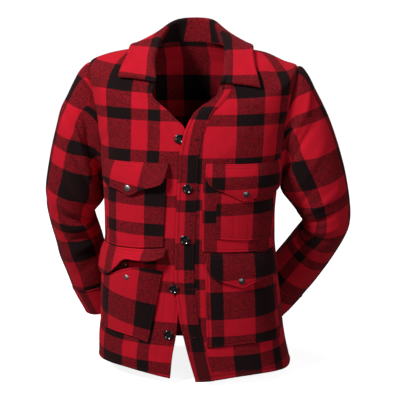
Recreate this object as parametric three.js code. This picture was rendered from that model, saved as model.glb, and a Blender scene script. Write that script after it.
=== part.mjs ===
// Mackinaw jacket, worn shape with no wearer. Millimetres, +Z up, the front faces -Y,
// +X is the wearer's left. The origin is the neck point between the two shoulder seams.
import * as THREE from 'three';

// Driving sizes.
const WALL = 2.6;            // thickness of the wool
const SEAM_ARC = 0.25;       // half of the gap left at a side or shoulder seam
const SEAM_STEP = 0.7;       // step between an armhole and its sleeve, and other joined rings
const OVERLAP_LIFT = 3.4;    // how far the left front rides over the right front
const BAND_WIDTH = 42;
const BAND_WALL = 2.4;
const BAND_GAP = 0.7;
const ARM_LOW = 453;         // height up the side of the underarm point
const ARM_TOP = 697;         // height up the side of the shoulder point
const NECK = 862;            // height up the side of the neck seam
const ARM_FRONT = 0.09;      // half widths of the armhole, as a part of the half girth
const ARM_BACK = 0.105;
const ARM_STEPS = 10;
const COLLAR_WALL = 4;
const COLLAR_STEP = 2.2;      // from the neck edge of the panels to the middle of the collar edge
const LAYER_GAP = 0.9;       // between a patch of cloth and what carries it
const PATCH_WALL = 2.4;

// Body rings, from the hem to the neck seam.
// up: distance up the side from the hem. Heights are given at the side, centre front and centre back.
const BODY_COLUMNS = ['up', 'sideZ', 'frontZ', 'backZ', 'half', 'front', 'back', 'shift', 'squareF',
  'squareB', 'lean', 'rise'];
const BODY = [
  [0, -739, -750, -738, 230, 152, 132, 4, 2.5, 2.4, -7, 14],
  [60, -682, -690, -680, 223, 152, 130, -2, 2.5, 2.4, -5, 8],
  [115, -630, -636, -626, 216, 152, 126, -3, 2.5, 2.4, -4, 3],
  [175, -570, -575, -566, 211, 152, 122, -5, 2.5, 2.4, -3, 0],
  [235, -510, -514, -506, 206, 151, 118, -7, 2.5, 2.4, -2, 0],
  [295, -450, -453, -447, 202, 150, 116, -7.5, 2.5, 2.4, -2, 0],
  [365, -380, -383, -378, 200, 148, 118, -7, 2.5, 2.4, -1, 0],
  [425, -320, -322, -318, 203, 146, 122, -6, 2.5, 2.4, -1, 0],
  [453, -292, -294, -291, 205.5, 145, 124, -5, 2.5, 2.4, -1, 0],
  [515, -231, -240, -232, 214, 141, 126, -2, 2.5, 2.4, -1, 0],
  [575, -171, -200, -176, 222, 135, 122, 0, 2.45, 2.35, -1, 0],
  [635, -109, -165, -120, 231, 127, 114, 0, 2.4, 2.3, -1, 0],
  [672, -66, -146, -84, 237, 121, 106, 0, 2.35, 2.25, -1, 0],
  [697, -37, -135, -56, 238, 117, 100, 0, 2.35, 2.2, -1, 0],
  [715, -26, -129, -43, 224, 114, 97, 0, 2.4, 2.2, -1, 0],
  [760, -11, -118, -23, 178, 108, 90, -2, 2.6, 2.2, 0, 0],
  [815, -3, -108, -4, 127, 103, 83, -5, 3.2, 2.2, 0, 0],
  [862, 2, -100, 8, 88, 98, 76, -6, 4.2, 2.2, 0, 0],
];

// Front edges: up, and distance across from the centre line (plus is the wearer's left).
const LEFT_EDGE = [[0, 15], [10, 14], [74, 2], [138, -12], [175, -16], [216, -19.5], [319, -19], [401, -17],
  [472, -15], [531, -16], [593, -10], [646, 0], [695, 13], [769, 41], [800, 54], [830, 67], [862, 72]];
const RIGHT_EDGE = [[0, -44], [9, -42], [49, -34], [94, -25], [139, -18], [175, -13], [216, -6], [260, 6],
  [319, 16], [401, 19], [472, 19], [531, 15], [593, 4], [639, -11], [675, -32], [740, -61], [805, -78],
  [862, -76]];

// Sleeves: outer line, inner line, depth of the middle and half depth.
const SLEEVE_COLUMNS = ['outX', 'outZ', 'inX', 'inZ', 'y', 'deep'];
const RIGHT_SLEEVE = [
  [-250, -44, -217, -291, 3, 55],
  [-265, -59, -221, -298, 3, 60],
  [-279, -83, -217, -308, 4, 64],
  [-293, -110, -213.5, -320, 5, 67],
  [-308, -140, -212.5, -332, 5, 69],
  [-319, -178, -212, -344, 8, 68],
  [-330, -217, -213, -356, 11, 67],
  [-339, -256, -219, -369, 15, 66],
  [-347, -296, -230, -382, 20, 64],
  [-353, -334, -238, -392, 26, 62],
  [-354, -368, -241, -402, 32, 60],
  [-351, -400, -238.5, -416, 40, 59],
  [-347, -436, -233, -434, 50, 58],
  [-340, -472, -227, -456, 58, 57],
  [-334, -508, -222, -480, 65, 56],
  [-322, -548, -213, -518, 76, 54],
  [-309, -596, -208, -568, 90, 52],
];
const RIGHT_CUFF = [
  [-300, -620, -202, -592, 97, 50],
  [-290, -643, -195, -616, 105, 49],
  [-281, -663, -189, -637, 112, 48],
];
const LEFT_SLEEVE = [
  [250, -43, 207, -291, 3, 55],
  [266, -64, 209.5, -299, 3, 60],
  [281, -94, 205, -309, 4, 64],
  [297, -124, 203.5, -320, 5, 67],
  [315, -162, 207, -331, 6, 69],
  [330, -202, 214, -343, 9, 68],
  [343, -242, 225, -357, 13, 67],
  [353, -280, 236, -372, 18, 66],
  [361, -318, 246, -387, 23, 64],
  [367, -356, 253, -400, 30, 62],
  [370, -390, 256.5, -408, 37, 60],
  [368, -418, 256.5, -414, 44, 59],
  [358, -449, 253, -421, 54, 58],
  [344, -481, 246, -431, 65, 57],
  [327, -515, 231, -453, 80, 55],
  [307, -550, 213, -480, 95, 53],
  [285, -585, 192, -510, 110, 51],
  [262, -618, 172, -541, 124, 50],
];
const LEFT_CUFF = [
  [246, -640, 158, -563, 133, 48],
  [231, -660, 144, -586, 142, 47],
  [214, -679, 131, -610, 150, 46],
];

// Collar stations from the centre back to the front end.
// neck: place round the neck seam; fold: top of the roll; edgeU, edgeUp: where the leaf edge lies on the body
const COLLAR_COLUMNS = ['neck', 'foldX', 'foldY', 'foldZ', 'edgeU', 'edgeUp'];
const COLLAR_LEFT = [
  [1, 0, 84, 58, 1, 795],
  [0.9, 22, 81, 57, 0.9, 795],
  [0.8, 42, 70, 53, 0.8, 795],
  [0.7, 56, 50, 44, 0.7, 796],
  [0.6, 67, 24, 30, 0.6, 797],
  [0.52, 74, -1, 12, 0.53, 798],
  [0.45, 77, -24, -9, 0.465, 797],
  [0.38, 78, -47, -31, 0.415, 792],
  [0.31, 77, -69, -52, 0.365, 775],
  [0.24, 74, -88, -70, 0.311, 735],
];
const COLLAR_RIGHT = [
  [1, 0, 84, 58, 1, 795],
  [0.9, -24, 81, 57, 0.9, 795],
  [0.8, -46, 70, 53, 0.8, 795],
  [0.7, -62, 50, 44, 0.7, 796],
  [0.6, -73, 24, 29, 0.6, 797],
  [0.52, -80, -1, 11, 0.53, 799],
  [0.45, -83, -24, -9, 0.475, 799],
  [0.38, -84, -47, -31, 0.43, 796],
  [0.31, -82, -69, -52, 0.388, 778],
  [0.24, -80, -87, -71, 0.347, 751],
];

// Patches on the fronts: columns from the front edge outwards.
// across at the top, across at the bottom, up at the top, up at the bottom, and how far the cloth stands
// off at the top, middle and bottom of that column, beyond the layers under it
const PATCH_COLUMNS = ['acrossT', 'acrossB', 'top', 'bottom', 'offT', 'offM', 'offB'];
const CHEST_POCKET_RIGHT = [[40, 46, 490, 312, 0, 1, 0], [72, 76, 490, 309, 0, 1.2, 0],
  [106, 108, 490, 306, 0, 1.2, 0], [140, 140, 490, 304, 0, 1.2, 0], [172, 172, 490, 302, 0, 1.2, 0],
  [204, 205, 490, 301, 0, 1, 0]];
const CHEST_FLAP_RIGHT = [[39, 43, 510, 473, 0, 9, 12], [46, 50, 510, 458, 0, 10, 17],
  [58, 62, 509, 451, 0, 10.6, 20], [82, 84, 508, 444, 0, 10, 16], [106, 106, 507, 434, 0, 9.4, 9.6],
  [126, 126, 506, 424, 0, 9, 7.6], [146, 147, 505, 432, 0, 9, 7.6], [168, 169, 504, 437, 0, 9, 8.8],
  [190, 191, 503, 444, 0, 9, 10], [201, 204, 503, 456, 0, 9, 11]];
const LOWER_POCKET_RIGHT = [[47, 88, 257, 82, 0, 2, 0], [72, 110, 262, 88, 8, 6, 0],
  [106, 132, 264, 92, 13, 8, 0], [140, 158, 254, 94, 13, 8, 0], [172, 186, 240, 95, 9, 7, 0],
  [204, 213, 238, 95, 5, 5, 0], [236, 240, 238, 95, 0, 2, 0]];
const LOWER_FLAP_RIGHT = [[40, 42, 301, 292, 0, 6, 10], [52, 55, 301, 288, 0, 12, 22],
  [72, 74, 301, 285, 0, 16, 30], [98, 100, 300, 285, 0, 17, 32], [124, 126, 299, 283, 0, 16, 29],
  [146, 148, 298, 261, 0, 13, 23], [168, 171, 297, 241, 0, 10, 17], [190, 194, 296, 232, 0, 9, 13],
  [212, 217, 295, 231, 0, 8, 11], [228, 233, 295, 240, 0, 7, 10]];
const CHEST_POCKET_LEFT = [[40, 41, 492, 306, 0, 0.8, 0], [72, 72, 492, 304, 0, 0.8, 0],
  [106, 106, 492, 302, 0, 0.8, 0], [140, 140, 492, 300, 0, 0.8, 0], [172, 172, 492, 298, 0, 0.8, 0],
  [204, 204, 492, 297, 0, 0.8, 0], [232, 236, 492, 296, 0, 0.8, 0]];
const PENCIL_POCKET_LEFT = [[70, 72, 484, 334, 3.2, 4.2, 3.2], [96, 97, 484, 331, 3.2, 5.4, 3.2],
  [122, 122, 484, 328, 3.2, 5.4, 3.2], [148, 148, 484, 326, 3.2, 5.4, 3.2],
  [176, 176, 484, 324, 3.2, 5.4, 3.2], [200, 202, 484, 322, 3.2, 4.6, 3.2],
  [216, 218, 484, 321, 3.2, 4.2, 3.2]];
const CHEST_FLAP_LEFT = [[44, 44, 510, 474, 0, 6.6, 8], [52, 53, 510, 458, 0, 8.6, 9],
  [65, 65, 509, 446, 0, 10, 9.6], [84, 84, 508, 439, 0, 10.4, 9.6], [106, 106, 507, 429, 0, 10.4, 9.6],
  [129, 129, 506, 417, 0, 10.4, 9.6], [152, 152, 505, 423, 0, 10.4, 9.6],
  [176, 176, 504, 425, 0, 10.4, 9.6], [202, 202, 503, 427, 0, 10.4, 10], [226, 227, 503, 434, 0, 9.4, 10],
  [236, 240, 503, 446, 0, 8, 10]];
const LOWER_POCKET_LEFT = [[49, 47, 282, 82, 0, 1, 0], [72, 72, 281, 82, 0, 2.4, 0],
  [106, 106, 280, 83, 0, 3, 0], [140, 140, 278, 84, 0, 3, 0], [172, 172, 276, 82, 0, 3, 0],
  [204, 206, 275, 80, 0, 2.4, 0], [238, 243, 274, 78, 0, 1, 0]];
const LOWER_FLAP_LEFT = [[51, 50, 303, 266, 0, 6, 8], [60, 60, 302.5, 251, 0, 7, 8.4],
  [73, 73, 302, 241, 0, 7.4, 8.6], [90, 90, 300, 234, 0, 7.6, 8.6], [110, 110, 299, 227, 0, 7.6, 8],
  [131, 131, 298, 220, 0, 7.4, 7.6], [150, 150, 296.5, 227, 0, 7.6, 8], [172, 172, 295, 231, 0, 7.6, 8.6],
  [198, 199, 294, 233, 0, 7.4, 9], [222, 224, 293, 236, 0, 7, 9], [234, 240, 293, 247, 0, 6, 9]];

// Small hardware: side (1 left, -1 right), across, up, stand off.
const BUTTONS = [[-1, -18.5, 588.6, 0], [1, 6, 446, 2], [1, 2.8, 331.7, 2], [1, -23, 219, 2],
  [-1, -40.3, 108.7, 0]];
const BUTTON_PROFILE = [[0, 2.4], [6.8, 2.4], [8, 3.3], [9.8, 3.3], [11, 2.2], [11, 0.6], [10.2, 0], [0, 0]];
const CAP_PROFILE = [[0, 2.4], [3.6, 2.1], [6.2, 1.3], [7.5, 0.3], [7.5, 0], [0, 0]];
const STUD_PROFILE = [[0, 3.2], [2, 3.2], [2.4, 1.4], [5.4, 1], [5.6, 0], [0, 0]];
const RING_PROFILE = [[3.2, 1.6], [5.4, 1.6], [6.2, 0.8], [6.2, 0], [2.6, 0], [2.6, 1]];

// Finishes.
const wool = new THREE.MeshStandardMaterial({ color: 0xb81423, roughness: 0.95, metalness: 0 });
const black = new THREE.MeshStandardMaterial({ color: 0x141214, roughness: 0.35, metalness: 0 });
const steel = new THREE.MeshStandardMaterial({ color: 0x9a938c, roughness: 0.35, metalness: 1 });
const brass = new THREE.MeshStandardMaterial({ color: 0xb58a4a, roughness: 0.4, metalness: 1 });

// Table reading.
// A smooth curve through one column of a table whose first column is the place along it.
function smooth(rows, place, column) {
  const last = rows.length - 1;
  const at = Math.min(Math.max(place, rows[0][0]), rows[last][0]);
  let i = 0;
  while (i < last - 1 && rows[i + 1][0] < at) i += 1;
  const span = rows[i + 1][0] - rows[i][0];
  const t = (at - rows[i][0]) / span;
  const slope = (k) => {
    const a = Math.max(k - 1, 0);
    const b = Math.min(k + 1, last);
    return (rows[b][column] - rows[a][column]) / (rows[b][0] - rows[a][0]);
  };
  const t2 = t * t;
  const t3 = t2 * t;
  return (2 * t3 - 3 * t2 + 1) * rows[i][column] + (t3 - 2 * t2 + t) * slope(i) * span
    + (3 * t2 - 2 * t3) * rows[i + 1][column] + (t3 - t2) * slope(i + 1) * span;
}

function straight(rows, place, column) {
  const last = rows.length - 1;
  let i = 0;
  while (i < last - 1 && rows[i + 1][0] < place) i += 1;
  const t = (place - rows[i][0]) / (rows[i + 1][0] - rows[i][0]);
  return rows[i][column] + (rows[i + 1][column] - rows[i][column]) * Math.min(Math.max(t, 0), 1);
}

const step = (a, b, x) => {
  const t = Math.min(Math.max((x - a) / (b - a), 0), 1);
  return t * t * (3 - 2 * t);
};

// The body form.
const rings = new Map();
function quarter(half, depth, power) {
  const pts = [];
  let run = 0;
  for (let k = 0; k <= 60; k += 1) {
    const f = (k / 60) * Math.PI / 2;
    const x = k === 60 ? half : half * Math.sin(f) ** (2 / power);
    const y = k === 60 ? 0 : depth * Math.cos(f) ** (2 / power);
    if (k > 0) run += Math.hypot(x - pts[k - 1][1], y - pts[k - 1][2]);
    pts.push([run, x, y]);
  }
  return pts;
}
function ringAt(up) {
  const key = up.toFixed(3);
  if (!rings.has(key)) {
    const r = {};
    BODY_COLUMNS.forEach((name, c) => { r[name] = c === 0 ? up : smooth(BODY, up, c); });
    r.f = quarter(r.half, r.front, r.squareF);
    r.b = quarter(r.half, r.back, r.squareB);
    r.arc = r.f[60][0];
    rings.set(key, r);
  }
  return rings.get(key);
}
// u runs round the ring: 0 centre front, 0.5 left side, 1 centre back, -0.5 right side
function bodyPoint(u, up) {
  const r = ringAt(up);
  let side = u >= 0 ? 1 : -1;
  let a = Math.abs(u);
  if (a > 1) {
    a = 2 - a;
    side = -side;
  }
  const front = a <= 0.5;
  const q = front ? r.f : r.b;
  const run = (front ? a : 1 - a) * 2 * q[60][0];
  const x = straight(q, run, 1);
  const y = straight(q, run, 2);
  let z = front ? r.sideZ + (r.frontZ - r.sideZ) * (y / r.front) ** 1.5
    : r.sideZ + (r.backZ - r.sideZ) * (y / r.back) ** 2;
  if (front) z += r.rise * Math.sin(Math.PI * 2 * a) ** 2;
  return new THREE.Vector3(r.shift + side * x, front ? -y : y, z + r.lean * side * x / r.half);
}
function bodyNormal(u, up) {
  const across = bodyPoint(u + 0.006, up).sub(bodyPoint(u - 0.006, up));
  const above = bodyPoint(u, Math.min(up + 4, NECK)).sub(bodyPoint(u, Math.max(up - 4, 0)));
  return across.cross(above).normalize();
}
// how far the left front stands over the right one, with the edge held off by the loose top button
function leftLift(across, up) {
  const near = 1 - step(46, 108, across);
  const gape = 5.5 * Math.exp(-(((up - 600) / 45) ** 2)) * (1 - step(-14, 34, across));
  return OVERLAP_LIFT * near * (1 - step(660, 780, up)) + gape;
}
// a point on a front, side 1 left and -1 right, across always counted outwards on that side
function frontPoint(side, across, up, off) {
  const u = side * across / (2 * ringAt(up).arc);
  const lift = side > 0 ? leftLift(across, up) : 0;
  const p = bodyPoint(u, up);
  return p.addScaledVector(bodyNormal(u, up), lift + off);
}

// Walls of cloth.
// rows: a grid of {p, n, t}; the wall runs from p inwards by t along n. A ring wraps round on itself.
function wall(name, finish, rows, wrap) {
  const nr = rows.length;
  const nc = rows[0].length;
  const pos = [];
  for (const row of rows) for (const g of row) pos.push(g.p.x, g.p.y, g.p.z);
  for (const row of rows) {
    for (const g of row) {
      const q = g.p.clone().addScaledVector(g.n, -g.t);
      pos.push(q.x, q.y, q.z);
    }
  }
  const out = (i, j) => i * nc + (j % nc);
  const inn = (i, j) => nr * nc + i * nc + (j % nc);
  const idx = [];
  const quad = (a, b, c, d) => idx.push(a, b, c, a, c, d);
  const jn = wrap ? nc : nc - 1;
  for (let i = 0; i < nr - 1; i += 1) {
    for (let j = 0; j < jn; j += 1) {
      quad(out(i, j), out(i, j + 1), out(i + 1, j + 1), out(i + 1, j));
      quad(inn(i, j), inn(i + 1, j), inn(i + 1, j + 1), inn(i, j + 1));
    }
  }
  for (let j = 0; j < jn; j += 1) {
    quad(out(0, j), inn(0, j), inn(0, j + 1), out(0, j + 1));
    quad(out(nr - 1, j), out(nr - 1, j + 1), inn(nr - 1, j + 1), inn(nr - 1, j));
  }
  if (!wrap) {
    for (let i = 0; i < nr - 1; i += 1) {
      quad(out(i, 0), out(i + 1, 0), inn(i + 1, 0), inn(i, 0));
      quad(out(i, nc - 1), inn(i, nc - 1), inn(i + 1, nc - 1), out(i + 1, nc - 1));
    }
  }
  return solid(name, finish, pos, idx);
}
function solid(name, finish, pos, idx) {
  let six = 0;
  const v = (k) => new THREE.Vector3(pos[3 * k], pos[3 * k + 1], pos[3 * k + 2]);
  for (let k = 0; k < idx.length; k += 3) six += v(idx[k]).dot(v(idx[k + 1]).cross(v(idx[k + 2])));
  if (six < 0) for (let k = 0; k < idx.length; k += 3) [idx[k], idx[k + 1]] = [idx[k + 1], idx[k]];
  const geometry = new THREE.BufferGeometry();
  geometry.setAttribute('position', new THREE.Float32BufferAttribute(pos, 3));
  geometry.setIndex(idx);
  geometry.computeVertexNormals();
  const mesh = new THREE.Mesh(geometry, finish);
  mesh.name = name;
  return mesh;
}
// normals of a grid of points, so that out is the side that across x above faces
function gridNormals(pts, wrap) {
  const nr = pts.length;
  const nc = pts[0].length;
  return pts.map((row, i) => row.map((p, j) => {
    const a = wrap ? row[(j + nc - 1) % nc] : row[Math.max(j - 1, 0)];
    const b = wrap ? row[(j + 1) % nc] : row[Math.min(j + 1, nc - 1)];
    const c = pts[Math.max(i - 1, 0)][j];
    const d = pts[Math.min(i + 1, nr - 1)][j];
    return b.clone().sub(a).cross(d.clone().sub(c)).normalize();
  }));
}

// Armholes.
const ARM_MID = (ARM_LOW + ARM_TOP) / 2;
const ARM_HALF = (ARM_TOP - ARM_LOW) / 2;
const armUps = [];
for (let k = 0; k <= ARM_STEPS; k += 1) armUps.push(ARM_MID - ARM_HALF * Math.cos(Math.PI * k / ARM_STEPS));
const armWidth = (up) => Math.sqrt(Math.max(0, 1 - ((up - ARM_MID) / ARM_HALF) ** 2));
// the armhole as a ring, from the shoulder point down the front, under the arm and up the back
function armLoop(side) {
  const loop = [];
  for (let k = 0; k < 2 * ARM_STEPS; k += 1) {
    const front = k <= ARM_STEPS;
    const up = armUps[front ? ARM_STEPS - k : k - ARM_STEPS];
    const u = side * (0.5 + (front ? -ARM_FRONT : ARM_BACK) * armWidth(up));
    loop.push({ u, up, p: bodyPoint(u, up) });
  }
  return loop;
}
function sleeveRings(table, side) {
  const mids = table.map((r) => new THREE.Vector3((r[0] + r[2]) / 2, r[4], (r[1] + r[3]) / 2));
  return table.map((r, i) => {
    const outwards = new THREE.Vector3(r[0] - r[2], 0, r[1] - r[3]);
    const reach = outwards.length() / 2;
    outwards.normalize();
    const along = mids[Math.min(i + 1, mids.length - 1)].clone().sub(mids[Math.max(i - 1, 0)]).normalize();
    const fwd = outwards.clone().cross(along).multiplyScalar(-side).normalize();
    const row = [];
    for (let k = 0; k < 2 * ARM_STEPS; k += 1) {
      const f = Math.PI * k / ARM_STEPS;
      row.push(mids[i].clone().addScaledVector(outwards, reach * Math.cos(f))
        .addScaledVector(fwd, r[5] * Math.sin(f)));
    }
    return row;
  });
}
// soft creases of a sleeve: ring, place round it (0 outer, 5 front, 10 inner), size, spread along and round
const CREASE_COLUMNS = ['ring', 'place', 'size', 'along', 'round'];
const RIGHT_CREASES = [[3, 4, -5, 1.2, 2.2], [5.5, 5, 3, 1.1, 2.4], [8, 6.5, -4, 1, 2.4],
  [10, 7, -5, 0.8, 2.4], [11.6, 6.5, 3, 0.8, 2.6], [13, 6, -4, 0.8, 2.4], [14.6, 4.5, 2.5, 0.8, 2.4],
  [9, 13, -4, 1, 2.4], [11.5, 13.5, -4, 0.9, 2.4], [4, 15, -4, 1.2, 2.2]];
const LEFT_CREASES = [[3, 4, -5, 1.2, 2.2], [6, 5, 3, 1.1, 2.4], [9, 6.5, -4, 0.9, 2.4],
  [11.4, 6.5, -6, 0.8, 2.6], [12.8, 5, 3.5, 0.8, 2.4], [14.2, 6, -3, 0.8, 2.4], [8, 13, -4, 1, 2.4],
  [11.5, 13.5, -5, 0.9, 2.4], [4, 15, -4, 1.2, 2.2]];
function creased(rows, creases) {
  const normals = gridNormals(rows, true);
  const flip = normals[5][0].dot(rows[5][0].clone().sub(rows[5][ARM_STEPS])) < 0 ? -1 : 1;
  return rows.map((row, i) => row.map((p, j) => {
    let d = 0;
    for (const [ring, place, size, along, round] of creases) {
      let away = Math.abs(j - place);
      away = Math.min(away, 2 * ARM_STEPS - away);
      d += size * Math.exp(-(((i - ring) / along) ** 2) - ((away / round) ** 2));
    }
    return p.clone().addScaledVector(normals[i][j], flip * d);
  }));
}
function outwardGrid(rows, thick) {
  const normals = gridNormals(rows, true);
  const flip = normals[1][0].dot(rows[1][0].clone().sub(rows[1][ARM_STEPS])) < 0 ? -1 : 1;
  return rows.map((row, i) => row.map((p, j) => ({ p, n: normals[i][j].multiplyScalar(flip), t: thick })));
}
// shared directions at the armhole, so that both walls meet on one mitre
const armMitre = new Map();
function buildSleeve(side, names, table, cuff, creases) {
  const loop = armLoop(side);
  const rest = creased(sleeveRings([...table, ...cuff], side), creases);
  const end = table.length - 1;
  const on = rest[end + 1].map((p, k) => p.clone().sub(rest[end][k]))
    .reduce((sum, d) => sum.add(d)).normalize();
  rest.splice(end + 1, 0, rest[end].map((p) => p.clone().addScaledVector(on, SEAM_STEP)));
  const rows = [loop.map((g) => g.p.clone()), ...rest];
  const grid = outwardGrid(rows, WALL);
  const middle = loop.reduce((sum, g) => sum.add(g.p), new THREE.Vector3()).divideScalar(loop.length);
  loop.forEach((g, k) => {
    const body = bodyNormal(g.u, g.up);
    const n = grid[0][k].n.clone().add(body);
    if (n.length() < 0.5) n.set(0, 0, 1).addScaledVector(body, -0.2);
    n.normalize();
    const open = Math.max(0.72, n.dot(body));
    const count = loop.length;
    const round = loop[(k + 1) % count].p.clone().sub(loop[(k + count - 1) % count].p).normalize();
    const apart = round.cross(n).normalize();
    if (apart.dot(middle.clone().sub(g.p)) < 0) apart.negate();
    const front = k <= ARM_STEPS;
    const row = front ? ARM_STEPS - k : k - ARM_STEPS;
    const hold = { n: n.clone(), t: WALL / open };
    armMitre.set(`${side} f ${row}`, front || row === ARM_STEPS ? hold : armMitre.get(`${side} f ${row}`));
    if (!front || row === ARM_STEPS || row === 0) armMitre.set(`${side} b ${row}`, hold);
    grid[0][k] = { p: g.p.clone().addScaledVector(apart, SEAM_STEP), n, t: WALL / open };
  });
  const parted = table.length + 1;
  return [wall(names[0], wool, grid.slice(0, parted), true), wall(names[1], wool, grid.slice(parted), true)];
}

// Panels of the body.
const LOW_UPS = [0, 42, 84, 128, 172, 216, 260, 303, 346, 386, 422];
const TOP_UPS = [715, 742, 772, 802, 832, 862];
const PANEL_UPS = [...LOW_UPS, ...armUps, ...TOP_UPS];
const FRONT_COLUMNS = 16;
const BACK_COLUMNS = 24;
function sideOf(up, back) {
  const inArm = up >= ARM_LOW && up <= ARM_TOP;
  return 0.5 + (back ? ARM_BACK : -ARM_FRONT) * (inArm ? armWidth(up) : 0);
}
const armRow = (up) => armUps.findIndex((a) => Math.abs(a - up) < 1e-6);
// the inner edge of the strip along the front, which is also a column of the panel under it
const bandEdge = (e, arc) => Math.min(e + BAND_WIDTH, e + (arc - e) * 0.5);
function buildFront(side, name) {
  const edge = side > 0 ? LEFT_EDGE : RIGHT_EDGE;
  const rows = PANEL_UPS.map((up) => {
    const r = ringAt(up);
    const e = side * smooth(edge, up, 1) + (side > 0 ? 1.5 : 0);
    const gap = sideOf(up, false) < 0.5 - 1e-6 ? 0 : SEAM_ARC;
    const far = sideOf(up, false) * 2 * r.arc - gap;
    const second = bandEdge(e, r.arc);
    const row = [];
    for (let j = 0; j <= FRONT_COLUMNS; j += 1) {
      const across = j < 2 ? e + (second - e) * j / 2
        : second + (far - second) * (j - 2) / (FRONT_COLUMNS - 2);
      const u = side * across / (2 * r.arc);
      row.push({ p: frontPoint(side, across, up, 0), n: bodyNormal(u, up), t: WALL });
    }
    const k = armRow(up);
    if (k >= 0) Object.assign(row[FRONT_COLUMNS], armMitre.get(`${side} f ${k}`));
    return row;
  });
  return wall(name, wool, rows, false);
}
function buildBack() {
  const rows = PANEL_UPS.map((up) => {
    const r = ringAt(up);
    const gap = sideOf(up, true) > 0.5 + 1e-6 ? 0 : SEAM_ARC / (2 * r.b[60][0]);
    const a = sideOf(up, true) + gap;
    const row = [];
    for (let j = 0; j <= BACK_COLUMNS; j += 1) {
      const u = a + (2 - 2 * a) * j / BACK_COLUMNS;
      row.push({ p: bodyPoint(u, up), n: bodyNormal(u, up), t: WALL });
    }
    const k = armRow(up);
    if (k >= 0) {
      Object.assign(row[0], armMitre.get(`1 b ${k}`));
      Object.assign(row[BACK_COLUMNS], armMitre.get(`-1 b ${k}`));
    }
    return row;
  });
  return wall('back', wool, rows, false);
}
function buildBand() {
  const ups = PANEL_UPS.filter((up) => up < 840);
  ups.push(846);
  const rows = ups.map((up) => {
    const r = ringAt(up);
    const e = smooth(LEFT_EDGE, up, 1);
    const row = [];
    for (let j = 0; j <= 2; j += 1) {
      const across = e + (bandEdge(e + 1.5, r.arc) - e) * j / 2;
      const n = bodyNormal(across / (2 * r.arc), up);
      row.push({ p: frontPoint(1, across, up, BAND_GAP + BAND_WALL), n, t: BAND_WALL });
    }
    return row;
  });
  return wall('front_band', wool, rows, false);
}

// Patches: pockets and flaps.
function buildPatch(name, side, table, finish, down) {
  const cols = [];
  for (let c = 0; c < table.length; c += 1) {
    cols.push(table[c]);
    const next = table[c + 1];
    if (next && Math.abs(next[0] - table[c][0]) > 21) cols.push(table[c].map((v, k) => (v + next[k]) / 2));
  }
  const rows = [];
  for (let i = 0; i <= down; i += 1) {
    const t = i / down;
    rows.push(cols.map(([acrossT, acrossB, top, bottom, offT, offM, offB]) => {
      const across = acrossT + (acrossB - acrossT) * t;
      const up = top + (bottom - top) * t;
      const off = offT * (1 - t) * (1 - 2 * t) + offM * 4 * t * (1 - t) + offB * t * (2 * t - 1);
      return frontPoint(side, across, up, LAYER_GAP + off + PATCH_WALL);
    }));
  }
  const normals = gridNormals(rows, false);
  const flip = normals[1][2].y < 0 ? 1 : -1;
  const grid = rows.map((row, i) => row.map((p, j) => ({
    p, n: normals[i][j].multiplyScalar(flip), t: PATCH_WALL })));
  return wall(name, finish, grid, false);
}

// Collar.
const cloud = [];
for (let u = -0.62; u < 0.621; u += 0.02) {
  for (let up = 700; up <= 862; up += 6) cloud.push([u, up, bodyPoint(u, up)]);
}
// pushes a point of the collar leaf out until it clears the fronts and shoulders by need
function clearOf(p, need) {
  const q = p.clone();
  for (let pass = 0; pass < 3; pass += 1) {
    let best = cloud[0];
    let near = Infinity;
    for (const c of cloud) {
      const d = c[2].distanceToSquared(q);
      if (d < near) {
        near = d;
        best = c;
      }
    }
    const n = bodyNormal(best[0], best[1]);
    const height = q.clone().sub(best[2]).dot(n);
    if (height < need) q.addScaledVector(n, need - height);
  }
  return q;
}
function collarPath(st, side) {
  const [neck, fx, fy, fz, eu, eup] = st;
  const seam = bodyPoint(side * neck, NECK);
  const above = seam.clone().sub(bodyPoint(side * neck, NECK - 12)).normalize();
  const start = seam.addScaledVector(above, COLLAR_STEP);
  const fold = new THREE.Vector3(fx, fy, fz);
  const edge = bodyPoint(side * eu, eup).addScaledVector(bodyNormal(side * eu, eup), 8.5);
  const outwards = edge.clone().sub(fold);
  const rise = fold.clone().sub(start).normalize();
  outwards.addScaledVector(rise, -outwards.dot(rise)).normalize();
  const pts = [start];
  for (const f of [0.4, 0.75]) {
    pts.push(start.clone().lerp(fold.clone().addScaledVector(outwards, -4.6), f));
  }
  pts.push(fold.clone().addScaledVector(outwards, -4.6));
  pts.push(fold.clone().addScaledVector(rise, 3.6));
  const over = clearOf(fold.clone().addScaledVector(outwards, 4.6), 6.8);
  pts.push(over);
  const mid = over.clone().lerp(edge, 0.5).addScaledVector(rise, 5);
  for (const f of [0.25, 0.5, 0.75, 1]) {
    const a = over.clone().lerp(mid, f);
    const b = mid.clone().lerp(edge, f);
    pts.push(clearOf(a.lerp(b, f), 6.8));
  }
  return pts;
}
function buildCollar() {
  const rows = [];
  for (let k = COLLAR_LEFT.length - 1; k >= 0; k -= 1) {
    const next = COLLAR_LEFT[k - 1];
    rows.push(collarPath(COLLAR_LEFT[k], 1));
    if (next) rows.push(collarPath(COLLAR_LEFT[k].map((v, c) => (v + next[c]) / 2), 1));
  }
  for (let k = 0; k < COLLAR_RIGHT.length; k += 1) {
    const last = COLLAR_RIGHT[k - 1];
    if (last) rows.push(collarPath(COLLAR_RIGHT[k].map((v, c) => (v + last[c]) / 2), -1));
    if (k > 0) rows.push(collarPath(COLLAR_RIGHT[k], -1));
  }
  const normals = gridNormals(rows, false);
  const mid = Math.floor(rows.length / 2);
  const flip = normals[mid][7].y > 0 ? 1 : -1;
  const grid = rows.map((row, i) => row.map((p, j) => {
    const n = normals[i][j].multiplyScalar(flip);
    return { p: p.clone().addScaledVector(n, COLLAR_WALL / 2), n, t: COLLAR_WALL };
  }));
  return wall('collar', wool, grid, false);
}

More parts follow.
